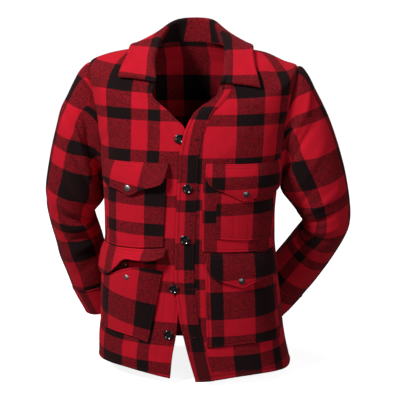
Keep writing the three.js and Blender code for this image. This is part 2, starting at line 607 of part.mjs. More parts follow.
// Buttons and snaps: a profile turned about the panel's own normal.
function turned(name, finish, profile, at, normal, count) {
  const x = new THREE.Vector3(1, 0, 0).addScaledVector(normal, -normal.x).normalize();
  const y = normal.clone().cross(x);
  const pos = [];
  const starts = profile.map(([r, h]) => {
    const first = pos.length / 3;
    const n = r === 0 ? 1 : count;
    for (let k = 0; k < n; k += 1) {
      const a = 2 * Math.PI * k / count;
      const p = at.clone().addScaledVector(normal, h).addScaledVector(x, r * Math.cos(a))
        .addScaledVector(y, r * Math.sin(a));
      pos.push(p.x, p.y, p.z);
    }
    return first;
  });
  const closed = profile[0][0] > 0;
  const idx = [];
  const last = closed ? profile.length : profile.length - 1;
  for (let i = 0; i < last; i += 1) {
    const i2 = (i + 1) % profile.length;
    for (let k = 0; k < count; k += 1) {
      const k2 = (k + 1) % count;
      const a = profile[i][0] === 0 ? [starts[i], starts[i]] : [starts[i] + k, starts[i] + k2];
      const b = profile[i2][0] === 0 ? [starts[i2], starts[i2]] : [starts[i2] + k, starts[i2] + k2];
      if (a[0] !== a[1]) idx.push(a[0], b[0], a[1]);
      if (b[0] !== b[1]) idx.push(a[1], b[0], b[1]);
    }
  }
  return solid(name, finish, pos, idx);
}
function onPatch(side, table, across, up, extra) {
  let best = null;
  for (let c = 0; c < table.length - 1; c += 1) {
    const [a, b] = [table[c], table[c + 1]];
    const top = a[2];
    for (const k of [0, 0.25, 0.5, 0.75, 1]) {
      const m = a.map((v, i) => v + (b[i] - v) * k);
      const t = Math.min(Math.max((top - up) / (m[2] - m[3]), 0), 1);
      const x = m[0] + (m[1] - m[0]) * t;
      const off = m[4] * (1 - t) * (1 - 2 * t) + m[5] * 4 * t * (1 - t) + m[6] * t * (2 * t - 1);
      if (!best || Math.abs(x - across) < best[0]) best = [Math.abs(x - across), off];
    }
  }
  const stand = LAYER_GAP + best[1] + PATCH_WALL + extra;
  const u = side * across / (2 * ringAt(up).arc);
  return [frontPoint(side, across, up, stand), bodyNormal(u, up)];
}

// The whole jacket.
const jacket = new THREE.Group();
jacket.name = 'mackinaw_jacket';
const add = (...meshes) => jacket.add(...meshes);
add(...buildSleeve(-1, ['sleeve_right', 'cuff_right'], RIGHT_SLEEVE, RIGHT_CUFF, RIGHT_CREASES));
add(...buildSleeve(1, ['sleeve_left', 'cuff_left'], LEFT_SLEEVE, LEFT_CUFF, LEFT_CREASES));
add(buildFront(-1, 'front_right'), buildFront(1, 'front_left'), buildBack(), buildBand(), buildCollar());
add(buildPatch('chest_pocket_right', -1, CHEST_POCKET_RIGHT, wool, 4));
add(buildPatch('chest_flap_right', -1, CHEST_FLAP_RIGHT, wool, 4));
add(buildPatch('lower_pocket_right', -1, LOWER_POCKET_RIGHT, wool, 4));
add(buildPatch('lower_flap_right', -1, LOWER_FLAP_RIGHT, wool, 4));
add(buildPatch('chest_pocket_left', 1, CHEST_POCKET_LEFT, wool, 4));
add(buildPatch('pencil_pocket_left', 1, PENCIL_POCKET_LEFT, wool, 4));
add(buildPatch('chest_flap_left', 1, CHEST_FLAP_LEFT, wool, 4));
add(buildPatch('lower_pocket_left', 1, LOWER_POCKET_LEFT, wool, 4));
add(buildPatch('lower_flap_left', 1, LOWER_FLAP_LEFT, wool, 4));
BUTTONS.forEach(([side, across, up, over], k) => {
  const stand = over > 0 ? BAND_GAP + BAND_WALL + 0.5 : 0.5;
  const u = across / (2 * ringAt(up).arc);
  const n = bodyNormal(u, up);
  const at = side > 0 ? frontPoint(1, across, up, stand) : bodyPoint(u, up).addScaledVector(n, stand);
  add(turned(`button_${k + 1}`, black, BUTTON_PROFILE, at, n, 20));
});
const hardware = [
  ['snap_chest_right', steel, CAP_PROFILE, -1, CHEST_FLAP_RIGHT, 128, 441.5, 0.7],
  ['snap_chest_left', steel, CAP_PROFILE, 1, CHEST_FLAP_LEFT, 134, 433.7, 0.7],
  ['snap_lower_left', steel, CAP_PROFILE, 1, LOWER_FLAP_LEFT, 127.5, 236.8, 0.7],
  ['snap_stud_right', steel, STUD_PROFILE, -1, LOWER_POCKET_RIGHT, 128, 238.6, 0.9],
];
for (const [name, finish, profile, side, table, across, up, extra] of hardware) {
  const [at, n] = onPatch(side, table, across, up, extra);
  add(turned(name, finish, profile, at, n, 16));
}
// the open socket seen in the mouth of the lower right pocket lies on the panel behind it
const socketU = -143 / (2 * ringAt(262).arc);
add(turned('snap_socket_right', brass, RING_PROFILE, bodyPoint(socketU, 262)
  .addScaledVector(bodyNormal(socketU, 262), 0.6), bodyNormal(socketU, 262), 16));

export default jacket;
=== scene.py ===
"""The looks of a wool mackinaw jacket, filled out with no wearer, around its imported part.

Sizes are in millimetres in the part's own frame: +Z up, the front faces -Y, +X is the wearer's left. A piece
is scaled to metres as its mesh is made. Right and left are the wearer's.
"""

import logging
import math
from dataclasses import dataclass, field
from enum import Enum

import bmesh
import bpy
import numpy as np
from mathutils import Matrix, Vector
from mathutils.kdtree import KDTree


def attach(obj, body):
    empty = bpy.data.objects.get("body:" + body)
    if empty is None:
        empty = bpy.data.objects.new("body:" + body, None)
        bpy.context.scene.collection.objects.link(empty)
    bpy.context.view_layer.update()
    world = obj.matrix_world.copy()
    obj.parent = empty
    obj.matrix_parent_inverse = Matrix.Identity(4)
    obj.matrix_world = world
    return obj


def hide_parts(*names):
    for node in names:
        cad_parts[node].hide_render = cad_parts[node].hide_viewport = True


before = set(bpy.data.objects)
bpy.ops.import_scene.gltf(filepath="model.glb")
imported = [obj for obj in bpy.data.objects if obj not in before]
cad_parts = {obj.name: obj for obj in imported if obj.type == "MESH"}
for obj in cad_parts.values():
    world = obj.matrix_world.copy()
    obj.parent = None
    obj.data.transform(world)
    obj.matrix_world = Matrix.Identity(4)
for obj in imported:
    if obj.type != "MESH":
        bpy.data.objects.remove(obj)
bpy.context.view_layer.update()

LOG = logging.getLogger("mackinaw jacket")
MM = 0.001
WEAVE_MAP = "weave"
# How far stitch lines lie in from the hem, from the armhole, and from the edges of pockets and the collar.
HEM_STITCH = 8.0
ARM_STITCH = 8.0
EDGE_STITCH = 5.5
Array = np.ndarray
Table = tuple[tuple[float, ...], ...]


class Slot(Enum):
    """The material slots of the part's record."""

    WOOL = "wool"
    BUTTON = "button"
    SNAP = "snap"
    SOCKET = "socket"


def curve(table: Table, place: Array) -> Array:
    """Reads every column of a table as a smooth curve of its first column.

    Args:
        table: rows whose first number is the place along the curve.
        place: the places to read, of any shape.

    Returns:
        An array with one more axis than place, the columns last.
    """
    rows = np.asarray(table, float)
    last = len(rows) - 1
    key = rows[:, 0]
    at = np.clip(np.asarray(place, float), key[0], key[-1])
    i = np.clip(np.searchsorted(key[1:], at, side="left"), 0, last - 1)
    low = np.maximum(np.arange(last + 1) - 1, 0)
    high = np.minimum(np.arange(last + 1) + 1, last)
    slope = (rows[high] - rows[low]) / (key[high] - key[low])[:, None]
    span = (key[i + 1] - key[i])[..., None]
    t = ((at - key[i])[..., None]) / span
    t2, t3 = t * t, t * t * t
    first = (2 * t3 - 3 * t2 + 1) * rows[i] + (t3 - 2 * t2 + t) * slope[i] * span
    return first + (3 * t2 - 2 * t3) * rows[i + 1] + (t3 - t2) * slope[i + 1] * span


def straight(table: Table, place: Array) -> Array:
    """Reads the second column of a table in straight lines between its rows."""
    return np.interp(place, *np.array(table, float).T)


def ease(low: float, high: float, x: Array) -> Array:
    """Runs smoothly from 0 at low to 1 at high."""
    t = np.clip((x - low) / (high - low), 0, 1)
    return t * t * (3 - 2 * t)


def bell(x: Array, width: float) -> Array:
    """A smooth bump of height 1 about zero."""
    return np.exp(-((x / width) ** 2))


def unit(v: Array) -> Array:
    """Vectors of length 1 in the same directions."""
    return v / np.maximum(np.linalg.norm(v, axis=-1, keepdims=True), 1e-9)


def travelled(line: Array) -> Array:
    """Distances along a line of points, from its first one."""
    return np.concatenate([[0.0], np.cumsum(np.linalg.norm(np.diff(line, axis=0), axis=1))])


def lofted(run: Array, rows: Array, at: Array) -> Array:
    """Rows of points on smooth curves through given rows.

    Args:
        run: the distance at which each given row lies.
        rows: the given rows of points.
        at: the distances at which rows are wanted.

    Returns:
        The wanted rows.
    """
    table = np.concatenate([run[:, None], rows.reshape(len(rows), -1)], 1)
    return curve(tuple(map(tuple, table)), at)[:, 1:].reshape(len(at), -1, 3)


def spaced(length: float, step: float, start: bool = True, end: bool = True, fine: float = 1.5) -> Array:
    """Places along a side of a piece, closer together where an edge is turned and stitched.

    Args:
        length: length of the side.
        step: spacing in the open cloth.
        start: whether the first end is a stitched edge.
        end: whether the last end is one.
        fine: spacing within the stitched edge.

    Returns:
        Parts of the length from 0 to 1.
    """
    edge = np.array([0.0, 0.5, 1.2, 2.2, 3.4, 4.6, 5.6, 6.4, 7.2, 8.4, 10.0]) * fine / 1.5
    low = edge if start else np.array([0.0])
    high = length - (edge if end else np.array([0.0]))[::-1]
    count = max(2, int(round((high[0] - low[-1]) / step)))
    middle = np.linspace(low[-1], high[0], count + 1)[1:-1]
    return np.concatenate([low, middle, high]) / length


def stitched_edge(d: Array, stitch: float = 6.4) -> Array:
    """Height of a turned and topstitched edge: rounded over, puffed, and drawn down along the stitches.

    Args:
        d: distance in from the edge.
        stitch: distance of the stitch line from the edge.

    Returns:
        The height over the flat cloth.
    """
    puff = 0.75 * bell(d - stitch * 0.45, stitch * 0.36)
    return puff - 1.1 * bell(d, 0.9) - 0.75 * bell(d - stitch, 1.3)


def seam_edge(d: Array) -> Array:
    """Height of the cloth next to a plain seam, which dips into the seam."""
    return 0.35 * bell(d - 4.5, 3.0) - 1.3 * bell(d, 1.6)


@dataclass(frozen=True)
class Fold:
    """A soft ridge, or a crease where height is below zero, along a straight line on the cloth."""

    x0: float
    y0: float
    x1: float
    y1: float
    width: float
    height: float

    def lift(self, x: Array, y: Array) -> Array:
        """How far the fold moves the cloth outwards.

        Args:
            x: first place of each point on the cloth.
            y: second place of each point.

        Returns:
            The move along the surface's own normal.
        """
        dx, dy = self.x1 - self.x0, self.y1 - self.y0
        t = np.clip(((x - self.x0) * dx + (y - self.y0) * dy) / (dx * dx + dy * dy), 0, 1)
        away = (x - self.x0 - t * dx) ** 2 + (y - self.y0 - t * dy) ** 2
        return self.height * np.exp(-away / self.width**2) * (0.55 + 0.45 * np.sin(math.pi * t))


def folds(rows: Table) -> tuple[Fold, ...]:
    """Folds from rows of x0, y0, x1, y1, width and height."""
    return tuple(Fold(*row) for row in rows)


def waves(x: Array, y: Array, size: float) -> Array:
    """The slight unevenness of thick cloth that has been worn.

    Args:
        x: first place of each point on the cloth.
        y: second place of each point.
        size: largest height.

    Returns:
        The height at each point.
    """
    one = np.sin(x / 31 + 1.4 * np.sin(y / 57 + 0.6)) * np.sin(y / 43 + 0.9 * np.sin(x / 49))
    two = np.sin(x / 13.1 + y / 23.7 + 1.1) * np.sin(y / 17.3 - x / 29.9)
    return size * (0.7 * one + 0.3 * two)


@dataclass(frozen=True)
class Cut:
    """Where a piece was cut from the plaid.

    The plaid repeats every 206 mm both ways: a wide stripe, red, a narrow stripe, red.
    """

    across: float = 0.0
    down: float = 0.0
    turn: float = 0.0
    flip_across: bool = False
    flip_down: bool = False

    def place(self, x: Array, y: Array) -> Array:
        """Places on the plaid of a piece's own places.

        Args:
            x: place across the piece, from left to right.
            y: place down the piece.

        Returns:
            An array of pairs in metres, for the UV map.
        """
        a = math.radians(self.turn)
        px = (x - self.across) * math.cos(a) + (y - self.down) * math.sin(a)
        py = (y - self.down) * math.cos(a) - (x - self.across) * math.sin(a)
        px = -px if self.flip_across else px
        py = -py if self.flip_down else py
        return np.stack([px, py], -1) * MM


@dataclass
class Cloth:
    """A piece of cloth as a grid of points on its outer face, with rows along t and columns along s."""

    points: Array
    plaid: Array
    s: Array
    t: Array
    closed: bool = False
    outs: Array = field(init=False)

    def __post_init__(self) -> None:
        """Works out the outward normals of the grid."""
        self.outs = self.normals(self.points)

    def normals(self, p: Array) -> Array:
        """Normals of a grid of points.

        Args:
            p: the grid, rows first.

        Returns:
            Unit normals, pointing to the side that s across t gives.
        """
        if self.closed:
            ring = np.concatenate([p[:, -2:-1], p, p[:, 1:2]], 1)
            along = ring[:, 2:] - ring[:, :-2]
        else:
            along = np.gradient(p, axis=1)
        return unit(np.cross(along, np.gradient(p, axis=0)))

    def raised(self, height: Array) -> "Cloth":
        """The same piece with its points moved along its normals."""
        moved = self.points + self.outs * height[..., None]
        return Cloth(moved, self.plaid, self.s, self.t, self.closed)

    def at(self, s: Array, t: Array) -> tuple[Array, Array]:
        """Points and normals at places on the piece.

        Args:
            s: places across the piece, 0 to 1.
            t: places along it, 0 to 1.

        Returns:
            The points and their normals.
        """
        fi = np.interp(s, self.s, np.arange(len(self.s)))
        fj = np.interp(t, self.t, np.arange(len(self.t)))
        i = np.minimum(fi.astype(int), len(self.s) - 2)
        j = np.minimum(fj.astype(int), len(self.t) - 2)
        a, b = (fi - i)[..., None], (fj - j)[..., None]
        found = []
        for grid in (self.points, self.outs):
            low = grid[j, i] * (1 - a) + grid[j, i + 1] * a
            high = grid[j + 1, i] * (1 - a) + grid[j + 1, i + 1] * a
            found.append(low * (1 - b) + high * b)
        return found[0], unit(found[1])


def link(name: str, bm: bmesh.types.BMesh, material: bpy.types.Material) -> bpy.types.Object:
    """Turns a bmesh into an object of the scene that moves with the part.

    Args:
        name: name of the object.
        bm: the shape in metres, freed here.
        material: its finish.

    Returns:
        The new object.
    """
    mesh = bpy.data.meshes.new(name)
    bm.to_mesh(mesh)
    bm.free()
    mesh.polygons.foreach_set("use_smooth", [True] * len(mesh.polygons))
    mesh.materials.append(material)
    piece = bpy.data.objects.new(name, mesh)
    bpy.context.scene.collection.objects.link(piece)
    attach(piece, "root")
    return piece


def sew(
    name: str, cloth: Cloth, wall: float, material: bpy.types.Material, rim: float = 0.8
) -> bpy.types.Object:
    """Makes a piece of cloth with a real thickness from its grid.

    Args:
        name: name of the object.
        cloth: the outer face.
        wall: thickness of the cloth, taken inwards.
        material: its finish.
        rim: how far the cut edges are rounded.

    Returns:
        The new object.
    """
    nj, ni = cloth.points.shape[:2]
    bm = bmesh.new()
    bmesh.ops.create_grid(bm, x_segments=ni - 1, y_segments=nj - 1, size=0.5)
    weave = bm.loops.layers.uv.new(WEAVE_MAP)
    bm.verts.index_update()
    spots = [(round((v.co.x + 0.5) * (ni - 1)), round((v.co.y + 0.5) * (nj - 1))) for v in bm.verts]
    for v, (i, j) in zip(bm.verts, spots):
        v.co = cloth.points[j, i]
    for face in bm.faces:
        for loop in face.loops:
            i, j = spots[loop.vert.index]
            loop[weave].uv = cloth.plaid[j, i]
    if cloth.closed:
        bmesh.ops.remove_doubles(bm, verts=bm.verts, dist=0.01)
    bmesh.ops.scale(bm, verts=bm.verts, vec=(MM, MM, MM))
    bm.normal_update()
    piece = link(name, bm, material)
    solid = piece.modifiers.new("Wall", "SOLIDIFY")
    solid.thickness = wall * MM
    solid.offset = -1
    solid.use_quality_normals = True
    bevel = piece.modifiers.new("Rim", "BEVEL")
    bevel.width = rim * MM
    bevel.segments = 2
    bevel.limit_method = "ANGLE"
    bevel.angle_limit = math.radians(55)
    return piece


def basis(at: Array, out: Array, along: Array, size: tuple[float, float, float]) -> Matrix:
    """Places a small shape on the cloth.

    Args:
        at: its middle.
        out: the cloth's normal there.
        along: the direction of the shape's own x.
        size: its length, width and height.

    Returns:
        The matrix that takes a shape of size 1 there, in metres.
    """
    z = Vector(out).normalized()
    x = Vector(along)
    x = (x - z * x.dot(z)).normalized()
    y = z.cross(x)
    turn = Matrix((x, y, z)).transposed().to_4x4()
    return Matrix.Translation(Vector(at) * MM) @ turn @ Matrix.Diagonal((*(Vector(size) * MM), 1))


@dataclass
class Stitching:
    """Lines of topstitching: each stitch is a short rounded length of thread lying on the cloth."""

    material: bpy.types.Material
    pitch: float = 3.6
    length: float = 2.7
    width: float = 0.95
    height: float = 0.7

    def run(self, bm: bmesh.types.BMesh, points: Array, outs: Array) -> None:
        """Adds one line of stitches.

        Args:
            bm: the shape that gets them.
            points: the line, close together.
            outs: the cloth's normals along it.
        """
        run = travelled(points)
        if run[-1] < self.pitch:
            return
        for mid in np.arange(self.pitch / 2, run[-1] - self.pitch / 4, self.pitch):
            at, out, ahead = (
                np.array([np.interp(where, run, grid[:, k]) for k in range(3)])
                for where, grid in ((mid, points), (mid, outs), (mid + 1, points))
            )
            size = (self.length, self.width, self.height)
            place = basis(at + out * 0.12, out, ahead - at, size)
            bmesh.ops.create_icosphere(bm, subdivisions=1, radius=0.5, matrix=place)

    def build(self, name: str, lines: list[tuple[Array, Array]]) -> bpy.types.Object:
        """Makes the stitches of one piece.

        Args:
            name: name of the object.
            lines: points and normals of each line.

        Returns:
            The new object.
        """
        bm = bmesh.new()
        for points, outs in lines:
            self.run(bm, points, outs)
        return link(name, bm, self.material)


@dataclass
class BodyForm:
    """The hollow body as rings from the hem to the neck seam, the same form as in the part's source.

    A place round a ring is u: 0 centre front, 0.5 left side, 1 centre back, -0.5 right side. Up is the
    distance up the side from the hem.
    """

    neck: float = 862
    arm_low: float = 453
    arm_top: float = 697
    arm_front: float = 0.09
    arm_back: float = 0.105
    overlap_lift: float = 3.4
    # The left shoulder falls more evenly towards the armhole than the rings give.
    droop: float = 8.5
    droop_up: float = 728
    # up, sideZ, frontZ, backZ, half, front, back, shift, squareF, squareB, lean, rise
    rings: Table = (
        (0, -739, -750, -738, 230, 152, 132, 4, 2.5, 2.4, -7, 14),
        (60, -682, -690, -680, 223, 152, 130, -2, 2.5, 2.4, -5, 8),
        (115, -630, -636, -626, 216, 152, 126, -3, 2.5, 2.4, -4, 3),
        (175, -570, -575, -566, 211, 152, 122, -5, 2.5, 2.4, -3, 0),
        (235, -510, -514, -506, 206, 151, 118, -7, 2.5, 2.4, -2, 0),
        (295, -450, -453, -447, 202, 150, 116, -7.5, 2.5, 2.4, -2, 0),
        (365, -380, -383, -378, 200, 148, 118, -7, 2.5, 2.4, -1, 0),
        (425, -320, -322, -318, 203, 146, 122, -6, 2.5, 2.4, -1, 0),
        (453, -292, -294, -291, 205.5, 145, 124, -5, 2.5, 2.4, -1, 0),
        (515, -231, -240, -232, 214, 141, 126, -2, 2.5, 2.4, -1, 0),
        (575, -171, -200, -176, 222, 135, 122, 0, 2.45, 2.35, -1, 0),
        (635, -109, -165, -120, 231, 127, 114, 0, 2.4, 2.3, -1, 0),
        (672, -66, -146, -84, 237, 121, 106, 0, 2.35, 2.25, -1, 0),
        (697, -37, -135, -56, 238, 117, 100, 0, 2.35, 2.2, -1, 0),
        (715, -26, -129, -43, 224, 114, 97, 0, 2.4, 2.2, -1, 0),
        (760, -11, -118, -23, 178, 108, 90, -2, 2.6, 2.2, 0, 0),
        (815, -3, -108, -4, 127, 103, 83, -5, 3.2, 2.2, 0, 0),
        (862, 2, -100, 8, 88, 98, 76, -6, 4.2, 2.2, 0, 0),
    )
    # Folds by girth from the centre front (plus is the wearer's left) and up.
    creases: tuple[Fold, ...] = folds(
        (
            (-150, 700, -110, 600, 22, -2.0),
            (-120, 690, -70, 600, 16, 1.8),
            (-250, 560, -170, 600, 16, 2.0),
            (-262, 520, -200, 560, 13, -2.2),
            (-60, 640, -30, 560, 15, -1.4),
            (-26, 540, -34, 330, 10, -1.4),
            (-270, 300, -200, 330, 18, -2.2),
            (-275, 250, -215, 290, 14, 1.8),
            (-40, 300, -62, 60, 15, -1.6),
            (-110, 70, -130, 0, 20, 1.6),
            (150, 620, 70, 520, 20, 2.4),
            (175, 640, 110, 560, 14, -2.0),
            (200, 560, 250, 600, 15, -2.2),
            (230, 530, 262, 560, 11, 2.0),
            (60, 740, 90, 640, 18, -1.2),
            (270, 300, 215, 340, 15, -2.0),
            (268, 260, 210, 300, 12, 1.6),
            (40, 260, 42, 60, 12, -1.0),
            (270, 120, 215, 150, 16, -1.8),
            (150, 70, 140, 0, 22, 1.6),
            (210, 80, 220, 0, 18, -1.4),
            (-330, 520, -300, 300, 26, -3.0),
            (340, 520, 305, 300, 26, -3.0),
            (-400, 620, -350, 480, 24, 2.6),
            (400, 620, 350, 480, 24, 2.6),
            (-470, 380, -380, 330, 24, -2.4),
            (470, 390, 390, 330, 24, -2.4),
            (-450, 130, -440, 0, 26, 2.4),
            (455, 150, 440, 0, 26, 2.4),
        )
    )
    gauge: Array = field(init=False)
    drops: dict[bool, Array] = field(init=False)

    def __post_init__(self) -> None:
        """Measures the half girths and the lengths of cloth once."""
        ups = np.arange(0.0, self.neck + 1)
        rows = curve(self.rings, ups)
        self.gauge = np.stack(
            [
                self.quarter(rows[:, 4], rows[:, 5], rows[:, 8])[2][:, -1],
                self.quarter(rows[:, 4], rows[:, 6], rows[:, 9])[2][:, -1],
            ]
        )
        self.drops = {back: self.measured(back) for back in (False, True)}

    @staticmethod
    def quarter(half: Array, depth: Array, power: Array) -> tuple[Array, Array, Array]:
        """Quarters of rings, from the front or back middle to the side.

        Args:
            half: half width of each ring.
            depth: depth of each ring.
            power: how square each ring is.

        Returns:
            Distances out, distances forward, and the lengths run, 61 of each to a ring.
        """
        f = np.linspace(0, math.pi / 2, 61)[None]
        x = half[:, None] * np.sin(f) ** (2 / power[:, None])
        y = depth[:, None] * np.abs(np.cos(f)) ** (2 / power[:, None])
        y[:, -1] = 0
        steps = np.hypot(np.diff(x, axis=1), np.diff(y, axis=1))
        return x, y, np.concatenate([np.zeros((len(x), 1)), np.cumsum(steps, axis=1)], 1)

    def arc(self, up: Array, back: bool = False) -> Array:
        """Length of the front or back quarter of the ring at a height."""
        return np.interp(up, np.arange(self.gauge.shape[1]), self.gauge[int(back)])

    def point(self, u: Array, up: Array) -> Array:
        """Points of the body form.

        Args:
            u: places round the rings.
            up: heights.

        Returns:
            The points, one row each.
        """
        side = np.where(u >= 0, 1.0, -1.0)
        a = np.abs(u)
        over = a > 1
        a = np.where(over, 2 - a, a)
        side = np.where(over, -side, side)
        r = curve(self.rings, up).T
        front = a <= 0.5
        depth = np.where(front, r[5], r[6])
        x, y, run = self.quarter(r[4], depth, np.where(front, r[8], r[9]))
        goal = np.where(front, a, 1 - a) * 2 * run[:, -1]
        i = np.clip((run[:, 1:] < goal[:, None]).sum(1), 0, 59)
        n = np.arange(len(i))
        t = np.clip((goal - run[n, i]) / (run[n, i + 1] - run[n, i]), 0, 1)
        px = x[n, i] + (x[n, i + 1] - x[n, i]) * t
        py = y[n, i] + (y[n, i + 1] - y[n, i]) * t
        part = py / depth
        z = np.where(front, r[1] + (r[2] - r[1]) * part**1.5, r[1] + (r[3] - r[1]) * part**2)
        z = z + np.where(front, r[11] * np.sin(math.pi * 2 * a) ** 2, 0) + r[10] * side * px / r[4]
        return np.stack([r[7] + side * px, np.where(front, -py, py), z], -1)

    def normal(self, u: Array, up: Array) -> Array:
        """Outward normals of the body form."""
        across = self.point(u + 0.006, up) - self.point(u - 0.006, up)
        above = self.point(u, np.minimum(up + 4, self.neck)) - self.point(u, np.maximum(up - 4, 0))
        return unit(np.cross(across, above))

    def girth(self, u: Array, up: Array) -> Array:
        """Distance round the ring from the centre front, plus on the wearer's left."""
        front, back = self.arc(up), self.arc(up, True)
        a = np.abs(u)
        far = np.where(a <= 0.5, a * 2 * front, front + (a - 0.5) * 2 * back)
        return np.where(u >= 0, far, -far)

    def skin(self, u: Array, up: Array, off: Array | float = 0.0) -> Array:
        """Points of the cloth with its folds.

        Args:
            u: places round the rings, of any shape.
            up: heights.
            off: how far each point stands off the panel's outer face.

        Returns:
            The points.
        """
        shape = np.shape(u)
        u, up = np.ravel(u), np.ravel(np.broadcast_to(up, shape))
        g = self.girth(u, up)
        lift = waves(g, up, 0.55)
        for fold in self.creases:
            lift = lift + fold.lift(g, up)
        lift = lift * ease(0, 26, self.neck - up) + np.ravel(np.broadcast_to(off, shape))
        moved = self.point(u, up) + self.normal(u, up) * lift[:, None]
        moved[:, 2] -= self.droop * bell(u - 0.5, 0.13) * bell(up - self.droop_up, 30)
        return moved.reshape(*shape, 3)

    def measured(self, back: bool) -> Array:
        """Lengths of cloth down columns that lie parallel to the centre line, from up 300.

        Args:
            back: whether the columns are on the back.

        Returns:
            Downward lengths at 17 distances across, 20 apart, and heights 2 apart.
        """
        ups = np.arange(0.0, self.neck + 1, 2)
        found = []
        for across in range(0, 340, 20):
            u = np.minimum(across / (2 * self.arc(ups, back)), 0.56)
            p = self.point(1 - u if back else u, ups)
            run = travelled(p)
            found.append(np.interp(300, ups, run) - run)
        return np.array(found)

    def drop(self, across: Array, up: Array, back: bool = False) -> Array:
        """How far down the cloth a place lies, measured along the cloth from up 300."""
        grid = self.drops[back]
        a = np.clip(np.abs(across) / 20, 0, len(grid) - 1.001)
        b = np.clip(up / 2, 0, grid.shape[1] - 1.001)
        i, j = a.astype(int), b.astype(int)
        fa, fb = a - i, b - j
        low = grid[i, j] * (1 - fa) + grid[i + 1, j] * fa
        high = grid[i, j + 1] * (1 - fa) + grid[i + 1, j + 1] * fa
        return low * (1 - fb) + high * fb

    def arm_width(self, up: Array) -> Array:
        """Width of the armhole at a height, as a part of its largest."""
        middle, half = (self.arm_low + self.arm_top) / 2, (self.arm_top - self.arm_low) / 2
        return np.sqrt(np.maximum(0, 1 - ((up - middle) / half) ** 2))

    def arm_up(self, turn: Array) -> Array:
        """Heights on the armhole's line, at turns from 0 at its bottom to pi at its top."""
        return (self.arm_low + self.arm_top) / 2 - (self.arm_top - self.arm_low) / 2 * np.cos(turn)

    def heights(self, step: float = 5.6) -> Array:
        """Heights of a panel's rows, close together at the hem and the ends of the armhole."""
        low = spaced(self.arm_low, step, True, False) * self.arm_low
        arm = self.arm_up(np.linspace(0, math.pi, 53))
        top = np.linspace(self.arm_top, self.neck, 31)
        return np.concatenate([low[:-1], arm[:-1], top])

    def left_lift(self, across: Array, up: Array) -> Array:
        """How far the left front rides over the right one."""
        near = 1 - ease(46, 108, across)
        gape = 5.5 * bell(up - 600, 45) * (1 - ease(-14, 34, across))
        return self.overlap_lift * near * (1 - ease(660, 780, up)) + gape

    def front(self, side: int, across: Array, up: Array, off: Array | float = 0.0) -> Array:
        """Points on or over a front.

        Args:
            side: 1 for the left front, -1 for the right one.
            across: distance out from the centre line, on that side.
            up: heights.
            off: how far each point stands off the panel's outer face.

        Returns:
            The points.
        """
        u = side * across / (2 * self.arc(up))
        lift = self.left_lift(across, up) if side > 0 else 0.0
        return self.skin(u, up, lift + off)


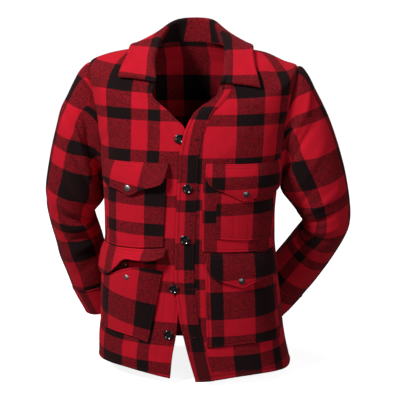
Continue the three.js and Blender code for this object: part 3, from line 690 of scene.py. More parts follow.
@dataclass
class Panels:
    """The two fronts, the back and the strip with the buttonholes."""

    form: BodyForm
    wall: float = 2.6
    band_wall: float = 2.4
    band_gap: float = 0.5
    band_width: float = 42
    seam: float = -0.2
    left_edge: Table = (
        (0, 15), (10, 14), (74, 2), (138, -12), (175, -16), (216, -19.5), (319, -19), (401, -17), (472, -15),
        (531, -16), (593, -10), (646, 0), (695, 13), (769, 41), (800, 54), (830, 67), (862, 72),
    )
    right_edge: Table = (
        (0, -44), (9, -42), (49, -34), (94, -25), (139, -18), (175, -13), (216, -6), (260, 6), (319, 16),
        (401, 19), (472, 19), (531, 15), (593, 4), (639, -11), (675, -32), (740, -61), (805, -78), (862, -76),
    )
    # How the pattern runs down each front: measured length of cloth, place on the plaid.
    right_rows: Table = (
        (-600, -160), (-431, 0), (-362, 65), (-322, 104.5), (-296, 133), (-230, 206), (164, 618), (221, 683),
        (292, 751),
    )
    left_rows: Table = (
        (-600, -180), (-349, 65), (-312, 104.5), (-286, 133), (-216, 206), (241, 722.5), (277, 751),
    )
    band_rows: Table = ((-600, -150), (-223, 206), (-24, 412), (38, 477), (67, 516.5), (164, 618), (227, 683))
    # How far the pattern leans towards the side at the hem of the right front.
    right_lean: Table = ((0, 32), (60, 24), (140, 8), (216, 0), (862, 0))
    right_cut: Cut = Cut(across=-196)
    left_cut: Cut = Cut(across=108)
    band_cut: Cut = Cut(across=-103.5)
    back_cut: Cut = Cut(across=-33, down=40)

    def edge(self, side: int, up: Array) -> Array:
        """Distance of a front's edge from the centre line, out on that side."""
        table = self.left_edge if side > 0 else self.right_edge
        return side * curve(table, up)[..., 1]

    def side(self, up: Array, back: bool) -> Array:
        """Place round the ring where a panel ends, at the side seam or the armhole."""
        inside = (up >= self.form.arm_low) & (up <= self.form.arm_top)
        reach = self.form.arm_back if back else -self.form.arm_front
        return 0.5 + np.where(inside, reach * self.form.arm_width(up), 0)

    def hem(self, up: Array) -> Array:
        """Height of the turned hem: a folded edge with one row of stitches."""
        return stitched_edge(up, HEM_STITCH)

    def front_cloth(self, side: int) -> Cloth:
        """The grid of one front.

        Args:
            side: 1 for the left front, -1 for the right one.

        Returns:
            The front, its first column at the front edge on the right front, and at the side on the left.
        """
        ups = self.form.heights()
        s = spaced(250, 5.4)
        up = np.repeat(ups[:, None], len(s), 1)
        edge = self.edge(side, up) + (1.5 if side > 0 else 0)
        far = self.side(up, False) * 2 * self.form.arc(up) - self.seam
        across = edge + (far - edge) * s[None]
        to_edge, to_side = across - edge, far - across
        lift = self.hem(up) + seam_edge(to_side) - 0.5 * bell(to_side - 8, 1.3) * (up > self.form.arm_low)
        if side < 0:
            lift = lift + stitched_edge(to_edge, 7.0) - 0.5 * bell(to_edge - 37, 1.5) * (up < 640)
        points = self.form.front(side, across, up, lift)
        rows = self.left_rows if side > 0 else self.right_rows
        down = straight(rows, self.form.drop(across, up))
        lean = 0 if side > 0 else curve(self.right_lean, up)[..., 1]
        plaid = (self.left_cut if side > 0 else self.right_cut).place(side * across + lean, down)
        order = slice(None) if side > 0 else slice(None, None, -1)
        s = s if side > 0 else 1 - s[::-1]
        return Cloth(points[:, order], plaid[:, order], s, ups / self.form.neck)

    def back_cloth(self) -> Cloth:
        """The grid of the back, from the left side seam round to the right one."""
        ups = self.form.heights()
        s = spaced(560, 6.5)
        up = np.repeat(ups[:, None], len(s), 1)
        gap = self.seam / (2 * self.form.arc(up, True))
        start = self.side(up, True) + gap
        u = start + (2 - 2 * start) * s[None]
        across = (u - 1) * 2 * self.form.arc(up, True)
        half = (1 - start) * 2 * self.form.arc(up, True)
        lift = self.hem(up) + seam_edge(half - np.abs(across))
        points = self.form.skin(np.where(u > 1, u - 2, u), up, lift)
        plaid = self.back_cut.place(across, self.form.drop(across, up, True))
        return Cloth(points, plaid, s, ups / self.form.neck)

    def band_cloth(self) -> Cloth:
        """The grid of the strip with the buttonholes, which is sewn down along both its sides."""
        ups = self.form.heights()
        ups = np.append(ups[ups < 840], 846)
        s = spaced(self.band_width, 3.2, True, True, 1.2)
        up = np.repeat(ups[:, None], len(s), 1)
        first = self.edge(1, up)
        arc = self.form.arc(up)
        second = np.minimum(first + 1.5 + self.band_width, first + 1.5 + (arc - first - 1.5) * 0.5)
        across = first + (second - first) * s[None]
        inner = second - across
        lift = stitched_edge(across - first, 7.5) - 0.9 * bell(inner, 1.6) - 0.6 * bell(inner - 5, 1.2)
        lift = lift + self.hem(up) - 0.9 * ease(16, 0, inner)
        points = self.form.front(1, across, up, self.band_gap + self.band_wall + lift)
        down = straight(self.band_rows, self.form.drop(across, up))
        plaid = self.band_cut.place(across - 0.65 * (first + 19), down)
        return Cloth(points, plaid, s, ups / self.form.neck)


@dataclass
class Patch:
    """A pocket or a flap lying on a front, cut from columns that run from the front edge outwards.

    A row of the table says: across at the top, across at the bottom, up at the top, up at the bottom, and how
    far the cloth stands off at the top, middle and bottom, beyond the layers under it.
    """

    name: str
    side: int
    table: Table
    cut: Cut
    wall: float = 2.4
    gap: float = 0.5
    stitches: tuple[float, ...] = (EDGE_STITCH,)
    top_stitches: tuple[float, ...] = ()
    pleats: tuple[float, ...] = ()
    cloth: Cloth | None = None

    def columns(self, s: Array) -> Array:
        """The table's columns read at parts of its width."""
        x = self.table[0][0] + (self.table[-1][0] - self.table[0][0]) * s
        return curve(self.table, x)

    def size(self) -> tuple[float, float]:
        """Width and largest height of the piece."""
        rows = np.array(self.table)
        return rows[-1, 0] - rows[0, 0], (rows[:, 2] - rows[:, 3]).max()

    def weave(self, form: BodyForm) -> Cloth:
        """Makes the grid of the piece.

        Args:
            form: the body that it lies on.

        Returns:
            The piece, with s running outwards from the front edge and t upwards.
        """
        width, height = self.size()
        s, t = spaced(width, 4.2), spaced(height, 4.2)
        c = self.columns(s)
        down = (1 - t)[:, None]
        across = c[:, 0] + (c[:, 1] - c[:, 0]) * down
        up = c[:, 2] + (c[:, 3] - c[:, 2]) * down
        off = c[:, 4] * (1 - down) * (1 - 2 * down) + c[:, 5] * 4 * down * (1 - down)
        off = off + c[:, 6] * down * (2 * down - 1)
        long = c[:, 2] - c[:, 3]
        ends = np.minimum(s * width, (1 - s) * width)[None]
        to_bottom, to_top = t[:, None] * long, (1 - t)[:, None] * long
        rim = np.minimum(np.minimum(ends, to_bottom), to_top + (0 if not self.top_stitches else 60))
        lift = stitched_edge(rim, self.stitches[0])
        for stitch in self.stitches[1:]:
            lift = lift - 0.45 * bell(rim - stitch, 1.1)
        for stitch in self.top_stitches:
            lift = lift - 0.5 * bell(to_top - stitch, 1.1)
        for pleat in self.pleats:
            lift = lift - 0.8 * bell(s[None] * width - pleat, 1.3) * (to_top > 60)
        points = form.front(self.side, across, up, self.gap + self.wall + off + lift)
        plaid = self.cut.place(self.side * across, form.drop(across, up))
        if self.side < 0:
            points, plaid, s = points[:, ::-1], plaid[:, ::-1], 1 - s[::-1]
        self.cloth = Cloth(points, plaid, s, t)
        return self.cloth

    def at(self, across: float, up: float) -> tuple[Array, Array]:
        """Point and normal of the piece at a place on the front.

        Args:
            across: distance out from the centre line.
            up: height.

        Returns:
            The point and the normal.
        """
        s = (across - self.table[0][0]) / (self.table[-1][0] - self.table[0][0])
        for _ in range(6):
            c = self.columns(np.array(s))
            down = (c[2] - up) / (c[2] - c[3])
            s += (across - c[0] - (c[1] - c[0]) * down) / (self.table[-1][0] - self.table[0][0])
        s = s if self.side > 0 else 1 - s
        p, n = self.cloth.at(np.array([s]), np.array([1 - down]))
        return p[0], n[0]

    def lines(self) -> list[tuple[Array, Array]]:
        """The stitch lines: down one side, along the bottom, up the other, and those below the top."""
        width, _ = self.size()
        found = []
        for d in self.stitches:
            a = d / width
            s = np.linspace(a, 1 - a, 160)
            c = self.columns(s)
            low = d / (c[:, 2] - c[:, 3])
            first, last = np.linspace(1.0, low[0], 60), np.linspace(low[-1], 1.0, 60)
            path_s = np.concatenate([np.full(60, a), s, np.full(60, 1 - a)])
            path_t = np.concatenate([first, low, last])
            found.append((path_s, path_t))
        for d in self.top_stitches:
            s = np.linspace(2.5 / width, 1 - 2.5 / width, 120)
            c = self.columns(s)
            found.append((s, 1 - d / (c[:, 2] - c[:, 3])))
        for pleat in self.pleats:
            s = np.full(60, pleat / width)
            found.append((s, np.linspace(0.04, 0.62, 60)))
        if self.side < 0:
            found = [(1 - s, t) for s, t in found]
        return [self.cloth.at(s, t) for s, t in found]


@dataclass
class Sleeve:
    """A set-in sleeve with its cuff, as rings from the armhole to the wrist.

    A ring row says: outer x and z, inner x and z, y of the middle, half depth. A place round a ring runs
    from 0 at the outer line over 5 at the front and 10 at the inner line to 20.
    """

    name: str
    side: int
    form: BodyForm
    rings: Table
    cuff: Table
    cut: Cut
    cuff_cut: Cut
    lean: Table
    creases: tuple[Fold, ...]
    wall: float = 2.6
    round_steps: int = 112
    cuff_wall: float = 3.2
    cuff_rise: float = 0.7
    puff: float = 0.0
    # Places round the arm, and the cloth in millimetres that a fold's place and ring stand for.
    places: int = 20
    place_step: float = 20
    ring_step: float = 38
    # How far the edges at the armhole and at the cuff run on under their neighbours, and how deep.
    tuck: tuple[float, float] = (2.4, 1.6)
    tuck_depth: float = 0.9

    def armhole(self, place: Array) -> Array:
        """Points of the armhole seam at places round the sleeve."""
        form = self.form
        front = place <= 10
        turn = np.where(front, 10 - place, place - 10) * math.pi / 10
        up = form.arm_up(turn)
        u = self.side * (0.5 + np.where(front, -form.arm_front, form.arm_back) * form.arm_width(up))
        return form.skin(u, up)

    def control(self, place: Array) -> Array:
        """Points of the armhole and of every ring in the tables.

        Args:
            place: places round the sleeve.

        Returns:
            An array of rings by places by 3.
        """
        r = np.array(self.rings + self.cuff)
        mids = np.stack([(r[:, 0] + r[:, 2]) / 2, r[:, 4], (r[:, 1] + r[:, 3]) / 2], 1)
        out = np.stack([r[:, 0] - r[:, 2], np.zeros(len(r)), r[:, 1] - r[:, 3]], 1)
        reach = np.linalg.norm(out, axis=1, keepdims=True) / 2
        out = unit(out)
        along = np.concatenate([mids[1:2] - mids[:1], mids[2:] - mids[:-2], mids[-1:] - mids[-2:-1]])
        ahead = unit(np.cross(out, unit(along)) * -self.side)
        turn = place * math.pi / 10
        rows = mids[:, None] + (out * reach)[:, None] * np.cos(turn)[None, :, None]
        rows = rows + (ahead * r[:, 5:6])[:, None] * np.sin(turn)[None, :, None]
        return np.concatenate([self.armhole(place)[None], rows])

    def cloth(self) -> tuple[Cloth, int]:
        """The grid of the whole sleeve.

        Returns:
            The grid, and the row where the cuff starts.
        """
        place = np.linspace(0, self.places, self.round_steps + 1)
        rings = self.control(place)
        rings[:, -1] = rings[:, 0]
        mids = rings[:, :-1].mean(1)
        run = travelled(mids)
        number = np.arange(len(rings)) - 1.0
        join = run[len(self.rings)]
        steps = [spaced(join, 5.0, True, True) * join, join + spaced(run[-1] - join, 4.0) * (run[-1] - join)]
        along = np.concatenate([steps[0], steps[1] + 0.01])
        count = len(steps[0])
        points = lofted(run, rings, along)
        ring = np.interp(along, run, number)
        outer = travelled(points[:, 0])
        lean = curve(self.lean, ring)[:, 1][:, None] * (1 - np.cos(place * math.pi / 10))[None] / 2
        x = np.repeat(place[None] * self.place_step, len(along), 0)
        y = outer[:, None] + lean
        plaid = self.cut.place(x, y)
        plaid[count:] = self.cuff_cut.place(x, y)[count:]
        cloth = Cloth(points, plaid, place / self.places, np.linspace(0, 1, len(along)), True)
        half = len(along) // 2
        outwards = points[half, 0] - points[half].mean(0)
        if (cloth.outs[half, 0] * outwards).sum() < 0:
            cloth = Cloth(points[:, ::-1], plaid[:, ::-1], place / self.places, cloth.t, True)
            place = place[::-1]
        wide = x if place[0] == 0 else x[:, ::-1]
        lift = waves(wide + 40 * self.side, along[:, None], 0.7)
        for fold in self.creases:
            for turn in (-1, 0, 1):
                x0, x1 = ((at + turn * self.places) * self.place_step for at in (fold.x0, fold.x1))
                y0, y1 = fold.y0 * self.ring_step, fold.y1 * self.ring_step
                moved = Fold(x0, y0, x1, y1, fold.width, fold.height)
                lift = lift + moved.lift(wide, ring[:, None] * self.ring_step)
        start, end = along[:, None], (join - along)[:, None]
        lift = lift * ease(0, 30, start) * (1 - 0.6 * ease(20, 0, np.abs(end)))
        cap = (0.5 + 0.5 * np.cos(place * math.pi / 10))[None]
        lift = lift + (0.5 - 0.4 * cap) * seam_edge(start) - 1.0 * bell(end, 1.6) * (end >= 0)
        lift = lift + self.puff * cap * bell(start - 15, 16)
        past = (along - join)[:, None]
        band = (self.cuff_rise + stitched_edge(past, 6.0)) * (past > 0.005)
        band = band + stitched_edge(run[-1] - along[:, None], 6.0)
        raised = cloth.raised(lift + band)
        for row, reach in zip((0, count), self.tuck):
            # The edge runs on under its neighbour, as a turned seam does, so that no light comes through.
            tail = unit(raised.points[row] - raised.points[row + 1])
            raised.points[row] += tail * reach - cloth.outs[row] * self.tuck_depth
        return raised, count


@dataclass
class Collar:
    """The fall collar, folded over on its roll.

    A station says: its number from the centre back, place round the neck seam, the top of the roll, and where
    the leaf's edge lies on the body.
    """

    form: BodyForm
    left: Table
    right: Table
    wall: float = 4.0
    rim: float = 1.2
    rise: float = -0.6
    turn: float = 4.6
    clear: float = 6.8
    stand: float = 8.5
    cut: Cut = Cut()
    # The leaf fans out round the right shoulder, and the pattern on it with it.
    fan: float = 0.88
    # How many places each half has along it, and the last ones, close together, counted back from its end.
    stations: int = 46
    ends: tuple[float, ...] = (0.42, 0.34, 0.27, 0.2, 0.14, 0.09, 0.05, 0.02, 0.0)
    cloth: Cloth | None = None
    ground: KDTree | None = None
    places: Array | None = None

    def __post_init__(self) -> None:
        """Lists points of the shoulders and fronts that the leaf must clear."""
        u, up = np.meshgrid(np.arange(-0.62, 0.621, 0.02), np.arange(700, 863, 6.0))
        self.places = np.stack([u.ravel(), up.ravel()], 1)
        found = self.form.point(self.places[:, 0], self.places[:, 1])
        self.ground = KDTree(len(found))
        for k, p in enumerate(found):
            self.ground.insert(Vector(p), k)
        self.ground.balance()

    def cleared(self, p: Array, need: float) -> Array:
        """Pushes points out until they clear the body.

        Args:
            p: the points.
            need: the least height over the body.

        Returns:
            The moved points.
        """
        p = p.copy()
        for _ in range(3):
            near = np.array([self.ground.find(Vector(q))[1] for q in p])
            u, up = self.places[near].T
            out = self.form.normal(u, up)
            height = ((p - self.form.point(u, up)) * out).sum(1)
            p = p + out * np.maximum(need - height, 0)[:, None]
        return p

    def path(self, rows: Array, side: int) -> Array:
        """Points from the neck seam over the roll to the leaf's edge, at several stations.

        Args:
            rows: the stations.
            side: 1 for the left half, -1 for the right one.

        Returns:
            Ten points for each station.
        """
        neck, fold, eu, eup = rows[:, 1], rows[:, 2:5], rows[:, 5], rows[:, 6]
        top = np.full(len(rows), self.form.neck)
        seam = self.form.point(side * neck, top)
        above = unit(seam - self.form.point(side * neck, top - 12))
        start = seam + above * self.rise
        edge = self.form.point(side * eu, eup) + self.form.normal(side * eu, eup) * self.stand
        rise = unit(fold - start)
        out = edge - fold
        out = unit(out - rise * (out * rise).sum(1, keepdims=True))
        inner = fold - out * self.turn
        pts = [start, start + (inner - start) * 0.4, start + (inner - start) * 0.75, inner, fold + rise * 3.6]
        over = self.cleared(fold + out * self.turn, self.clear)
        pts.append(over)
        middle = (over + edge) / 2 + rise * 5
        for f in (0.25, 0.5, 0.75, 1):
            a, b = over + (middle - over) * f, middle + (edge - middle) * f
            pts.append(self.cleared(a + (b - a) * f, self.clear))
        return np.stack(pts, 1)

    def weave(self) -> Cloth:
        """Makes the grid of the collar.

        Returns:
            The collar, with s from the left front end round to the right one, and t from the neck seam to
            the leaf's edge.
        """
        rows = []
        for side, table in ((1, self.left), (-1, self.right)):
            last = len(table) - 1
            stations = tuple((k, *row) for k, row in enumerate(table))
            where = np.concatenate([np.linspace(0, last - 0.5, self.stations), last - np.array(self.ends)])
            half = self.path(curve(stations, where), side)
            rows = [*half[::-1]] if side > 0 else [*rows, *half[1:]]
        rails = np.array(rows)
        steps = np.linalg.norm(np.diff(rails, axis=1), axis=2).mean(0)
        run = np.concatenate([[0.0], np.cumsum(steps)])
        t = spaced(run[-1], 3.0, False, True)
        points = lofted(run, rails.transpose(1, 0, 2), t * run[-1])
        along, rim = travelled(points[len(t) // 2]), travelled(points[-1])
        s = along / along[-1]
        x = (along - along[-1] / 2)[None] + np.zeros((len(t), 1))
        y = (t * run[-1])[:, None] + np.zeros((1, len(s)))
        cloth = Cloth(points, self.cut.place(np.where(x > 0, x * self.fan, x), y), s, t)
        to_edge = ((1 - t) * run[-1])[:, None]
        ends = np.minimum(rim, rim[-1] - rim)[None]
        leaf = ease(run[4], run[6], t * run[-1])[:, None]
        lift = stitched_edge(np.minimum(to_edge, ends + 200 * (1 - leaf)), EDGE_STITCH)
        lift = lift + self.wall / 2 + waves(x, y, 0.5) * leaf
        if cloth.outs[-6, len(s) // 2][1] <= 0:
            cloth = Cloth(points[:, ::-1], cloth.plaid[:, ::-1], 1 - s[::-1], t)
            lift = lift[:, ::-1]
        self.cloth = cloth.raised(lift)
        return self.cloth

    def lines(self) -> list[tuple[Array, Array]]:
        """The stitch line round the leaf, in from its edge."""
        cloth = self.cloth
        grid = cloth.points
        long = np.linalg.norm(np.diff(grid, axis=0), axis=2).sum(0).mean()
        rim = travelled(grid[-1])
        low, high = np.interp([EDGE_STITCH, rim[-1] - EDGE_STITCH], rim, cloth.s)
        down = 1 - EDGE_STITCH / long
        s = np.concatenate([np.full(60, low), np.linspace(low, high, 260), np.full(60, high)])
        t = np.concatenate([np.linspace(0.62, down, 60), np.full(260, down), np.linspace(down, 0.62, 60)])
        return [cloth.at(s, t)]


def linear(hex_colour: str) -> tuple[float, float, float, float]:
    """Turns an sRGB hex value into linear light, with an alpha of 1."""
    parts = [int(hex_colour[k : k + 2], 16) / 255 for k in (1, 3, 5)]
    return (*[c / 12.92 if c <= 0.04045 else ((c + 0.055) / 1.055) ** 2.4 for c in parts], 1.0)


@dataclass
class Nodes:
    """One material's node tree."""

    name: str
    material: bpy.types.Material = field(init=False)

    def __post_init__(self) -> None:
        """Starts the tree with its output and shader."""
        self.material = bpy.data.materials.new(self.name)
        self.material.use_nodes = True
        self.material.node_tree.nodes.clear()

    def add(self, kind: str, settings: dict | None = None, links: dict | None = None) -> bpy.types.Node:
        """Adds a node.

        Args:
            kind: type name of the node.
            settings: attributes by name, and values of inputs by number.
            links: output sockets by the number of the input that they feed.

        Returns:
            The node.
        """
        node = self.material.node_tree.nodes.new(kind)
        for key, value in (settings or {}).items():
            if isinstance(key, int):
                node.inputs[key].default_value = value
            elif key in node.inputs and not hasattr(type(node), key):
                node.inputs[key].default_value = value
            else:
                setattr(node, key, value)
        for key, socket in (links or {}).items():
            self.material.node_tree.links.new(socket, node.inputs[key])
        return node

    def maths(self, operation: str, a: object, b: object = 0.0, c: object = 0.0) -> bpy.types.NodeSocket:
        """Adds one sum on numbers or sockets and returns its output."""
        parts = (a, b, c)
        settings = {k: v for k, v in enumerate(parts) if isinstance(v, (int, float))}
        links = {k: v for k, v in enumerate(parts) if not isinstance(v, (int, float))}
        return self.add("ShaderNodeMath", {"operation": operation, **settings}, links).outputs[0]

    def finish(self, settings: dict, links: dict) -> bpy.types.Material:
        """Adds the shader and the output.

        Args:
            settings: values of the shader's inputs by name.
            links: sockets by the name of the input that they feed.

        Returns:
            The material.
        """
        shader = self.add("ShaderNodeBsdfPrincipled", None, links)
        for key, value in settings.items():
            shader.inputs[key].default_value = value
        self.add("ShaderNodeOutputMaterial", None, {0: shader.outputs[0]})
        return self.material


@dataclass(frozen=True)
class PlaidWool:
    """Thick fulled wool twill, woven in red and black with a raised nap.

    The eye sees flat saturated red, near black where two stripes cross, and a speckled dark red where one
    stripe runs, because red and black threads lie side by side there.
    """

    red: str = "#CC1329"
    black: str = "#130B0C"
    repeat: float = 206
    wide: float = 65
    narrow_start: float = 104.5
    narrow: float = 28.5
    blur: float = 0.9
    # Real twill lines are 1.3 mm apart. They are drawn 3 mm apart, so that they show in the render.
    twill: float = 3.0
    nap: float = 1.7
    # How far the nap carries a stripe's edge, and how much black one stripe alone has, with its contrast.
    stray: float = 3.2
    share: float = 0.69
    contrast: float = 3.2
    # How strongly a twill line darkens the cloth and stands up from it.
    line_tone: float = 0.1
    line_height: float = 0.16
    # Width of the cloudy patches, and the change of tone in them and in the nap.
    cloud: float = 35
    cloud_tone: float = 0.28
    nap_tone: float = 0.6

    def stripe(
        self, n: Nodes, place: bpy.types.NodeSocket, wander: bpy.types.NodeSocket
    ) -> bpy.types.NodeSocket:
        """Adds the nodes of the stripes one way.

        Args:
            n: the tree.
            place: place across the stripes, in metres.
            wander: a small number that roughens the stripes' edges.

        Returns:
            1 in a stripe and 0 outside.
        """
        moved = n.maths("ADD", place, wander)
        within = n.maths("FLOORED_MODULO", moved, self.repeat * MM)
        found = []
        for start, width in ((0.0, self.wide), (self.narrow_start, self.narrow)):
            middle = n.maths("SUBTRACT", within, (start + width / 2) * MM)
            off = n.maths("ABSOLUTE", middle)
            limits = {1: (width / 2 + self.blur) * MM, 2: (width / 2 - self.blur) * MM, 3: 0.0, 4: 1.0}
            ramp = n.add("ShaderNodeMapRange", {"interpolation_type": "SMOOTHSTEP", **limits}, {0: off})
            found.append(ramp.outputs[0])
        return n.maths("MAXIMUM", found[0], found[1])

    def build(self) -> bpy.types.Material:
        """Makes the material."""
        n = Nodes("Fulled wool twill, buffalo plaid")
        place = n.add("ShaderNodeUVMap", {"uv_map": WEAVE_MAP}).outputs[0]
        body = n.add("ShaderNodeTexCoord").outputs["Object"]
        axes = n.add("ShaderNodeSeparateXYZ", None, {0: place})
        nap = {"Scale": 1 / (self.nap * MM), "Detail": 3.0, "Roughness": 0.65}
        fuzz = n.add("ShaderNodeTexNoise", nap, {0: body})
        off = n.maths("SUBTRACT", fuzz.outputs[0], 0.5)
        wander = n.maths("MULTIPLY", off, self.stray * MM)
        across = self.stripe(n, axes.outputs[0], wander)
        down = self.stripe(n, axes.outputs[1], wander)
        diagonal = n.maths("ADD", axes.outputs[0], axes.outputs[1])
        line = n.maths("SINE", n.maths("MULTIPLY", diagonal, 2 * math.pi / (self.twill * MM)))
        speck = n.maths("MULTIPLY_ADD", off, self.contrast, self.share)
        mixed = n.maths("MULTIPLY_ADD", line, self.line_tone, speck)
        mixed = n.add("ShaderNodeClamp", None, {0: mixed}).outputs[0]
        both = n.maths("MULTIPLY", across, down)
        either = n.maths("MAXIMUM", across, down)
        one = n.maths("MULTIPLY", n.maths("SUBTRACT", either, both), mixed)
        dark = n.maths("ADD", one, both)
        patches = {"Scale": 1 / (self.cloud * MM), "Detail": 2.0}
        cloud = n.add("ShaderNodeTexNoise", patches, {0: body}).outputs[0]
        tone = n.maths("MULTIPLY_ADD", n.maths("SUBTRACT", cloud, 0.5), self.cloud_tone, 1.0)
        grain = n.maths("MULTIPLY_ADD", off, self.nap_tone, tone)
        grey = n.add("ShaderNodeCombineColor", None, {0: grain, 1: grain, 2: grain}).outputs[0]
        tint = {"data_type": "RGBA", "blend_type": "MULTIPLY", 0: 1.0, 6: linear(self.red)}
        red = n.add("ShaderNodeMix", tint, {7: grey})
        black = {"data_type": "RGBA", 7: linear(self.black)}
        colour = n.add("ShaderNodeMix", black, {0: dark, 6: red.outputs[2]})
        weave = n.maths("MULTIPLY_ADD", line, self.line_height, fuzz.outputs[0])
        bump = n.add("ShaderNodeBump", {"Strength": 0.8, "Distance": 0.7 * MM}, {"Height": weave})
        settings = {
            "Roughness": 0.92,
            "Specular IOR Level": 0.16,
            "Sheen Weight": 0.22,
            "Sheen Roughness": 0.5,
            "Sheen Tint": linear("#E06A72"),
        }
        return n.finish(settings, {"Base Color": colour.outputs[2], "Normal": bump.outputs[0]})


@dataclass(frozen=True)
class PlainFinish:
    """A finish of one colour with a slight unevenness in its gloss."""

    name: str
    colour: str
    roughness: float
    metallic: float = 0.0
    coat: float = 0.0
    grain: float = 0.4

    def build(self) -> bpy.types.Material:
        """Makes the material."""
        n = Nodes(self.name)
        place = n.add("ShaderNodeTexCoord").outputs["Object"]
        patches = {"Scale": 1 / (self.grain * MM), "Detail": 2.0}
        noise = n.add("ShaderNodeTexNoise", patches, {0: place}).outputs[0]
        rough = n.maths("MULTIPLY_ADD", n.maths("SUBTRACT", noise, 0.5), 0.12, self.roughness)
        settings = {"Base Color": linear(self.colour), "Metallic": self.metallic, "Coat Weight": self.coat}
        return n.finish(settings, {"Roughness": rough})


# Cotton-wrapped polyester thread: matt and dark, so that a stitch line reads as a fine dark line on the red.
THREAD = PlainFinish("Spun thread, dark red", "#52060F", 0.8)
# Cast polyester button: black all through, polished, with a sharp highlight on its rim.
BUTTON = PlainFinish("Cast polyester, polished black", "#0B0B0D", 0.26, coat=0.8)
# The holes of a button: near-black discs on its face, painted shade for the hollows of the holes.
HOLE_SHADE = PlainFinish("Painted shade in the button holes", "#020202", 0.7)
# Nickel plating on brass, worn: warm grey with dull patches.
NICKEL = PlainFinish("Nickel plate, worn", "#CFCCC6", 0.36, metallic=1.0)
# The same nickel made darker for the caps on the left pockets, which face away from the key light: painted
# shade.
NICKEL_PAINTED_SHADE = PlainFinish("Nickel plate, painted shade", "#717174", 0.36, metallic=1.0)
# Bare stamped brass.
BRASS = PlainFinish("Stamped brass", "#C08A55", 0.34, metallic=1.0)


@dataclass
class Turned:
    """A small round fitting turned from a profile of radius and height."""

    name: str
    profile: Table
    steps: int = 40

    def build(self, at: Array, out: Array, finish: bpy.types.Material) -> bpy.types.Object:
        """Makes the fitting on the cloth.

        Args:
            at: the middle of its base.
            out: the cloth's normal there.
            finish: its material.

        Returns:
            The new object.
        """
        bm = bmesh.new()
        verts = [bm.verts.new((r, 0, h)) for r, h in self.profile]
        edges = [bm.edges.new(pair) for pair in zip(verts, verts[1:])]
        if self.profile[0][0] > 0:
            edges.append(bm.edges.new((verts[-1], verts[0])))
        bmesh.ops.spin(bm, geom=[*verts, *edges], axis=(0, 0, 1), cent=(0, 0, 0), dvec=(0, 0, 0),
                       angle=2 * math.pi, steps=self.steps, use_merge=True, use_duplicate=False)
        bmesh.ops.remove_doubles(bm, verts=bm.verts, dist=0.001)
        bmesh.ops.recalc_face_normals(bm, faces=bm.faces)
        bmesh.ops.transform(bm, verts=bm.verts, matrix=basis(at, out, np.array([1.0, 0.0, 0.0]), (1, 1, 1)))
        return link(self.name, bm, finish)


@dataclass
class Buttons:
    """The coat buttons: black, with a raised rim, four holes drawn as near-black discs of painted shade, and
    crossed thread.
    """

    hole_ring: float = 2.5
    hole: float = 1.05
    profile: Table = (
        (0, 1.9), (5.6, 1.9), (6.6, 2.2), (7.6, 3.2), (8.6, 3.7), (9.6, 3.6), (10.6, 2.9), (11, 2.0),
        (11, 0.9),
        (10.3, 0.2), (9.4, 0), (0, 0),
    )

    def build(self, name: str, at: Array, out: Array, finish: bpy.types.Material, dark: bpy.types.Material,
              thread: bpy.types.Material) -> list[bpy.types.Object]:
        """Makes one button with its holes and thread.

        Args:
            name: name of the button's node.
            at: the middle of its base.
            out: the cloth's normal there.
            finish: the button's material.
            dark: the material of the holes, a near-black painted shade.
            thread: the thread's material.

        Returns:
            The button, its holes and its thread.
        """
        disc = Turned(name, self.profile, 48).build(at, out, finish)
        frame_at = basis(at, out, np.array([1.0, 0.0, 0.0]), (1, 1, 1))
        holes, cross = bmesh.new(), bmesh.new()
        # Each hole is a near-black disc standing just proud of the face: painted shade for the hollow.
        for k in range(4):
            a = math.pi / 4 + k * math.pi / 2
            x, y = self.hole_ring * math.cos(a), self.hole_ring * math.sin(a)
            place = frame_at @ Matrix.Translation((x, y, 1.75))
            bmesh.ops.create_cone(holes, cap_ends=True, segments=16, radius1=self.hole, radius2=self.hole,
                                  depth=0.5, matrix=place)
        for side in (-1, 1):
            place = frame_at @ Matrix.Rotation(side * math.pi / 4, 4, "Z") @ Matrix.Translation((0, 0, 2.05))
            bmesh.ops.create_icosphere(cross, subdivisions=2, radius=0.5,
                                       matrix=place @ Matrix.Diagonal((5.6, 0.95, 0.7, 1)))
        return [disc, link(f"{name}_holes", holes, dark), link(f"{name}_thread", cross, thread)]


@dataclass
class Buttonhole:
    """A worked buttonhole: two rows of close bars beside a slit, with a bar across each end."""

    length: float = 25
    width: float = 3.6
    pitch: float = 0.9

    def add(self, bm: bmesh.types.BMesh, at: Array, out: Array) -> None:
        """Adds one buttonhole.

        Args:
            bm: the shape that gets it.
            at: its middle.
            out: the cloth's normal there.
        """
        frame_at = basis(at, out, np.array([1.0, 0.0, 0.0]), (1, 1, 1))
        for side in (-1, 1):
            for x in np.arange(-self.length / 2, self.length / 2 + 0.01, self.pitch):
                place = frame_at @ Matrix.Translation((x, side * self.width / 4, 0.15))
                size = Matrix.Diagonal((0.8, self.width / 2, 1.0, 1))
                bmesh.ops.create_icosphere(bm, subdivisions=1, radius=0.5, matrix=place @ size)
            end = frame_at @ Matrix.Translation((side * self.length / 2, 0, 0.2))
            bmesh.ops.create_icosphere(bm, subdivisions=1, radius=0.5,
                                       matrix=end @ Matrix.Diagonal((1.6, self.width + 0.6, 1.3, 1)))


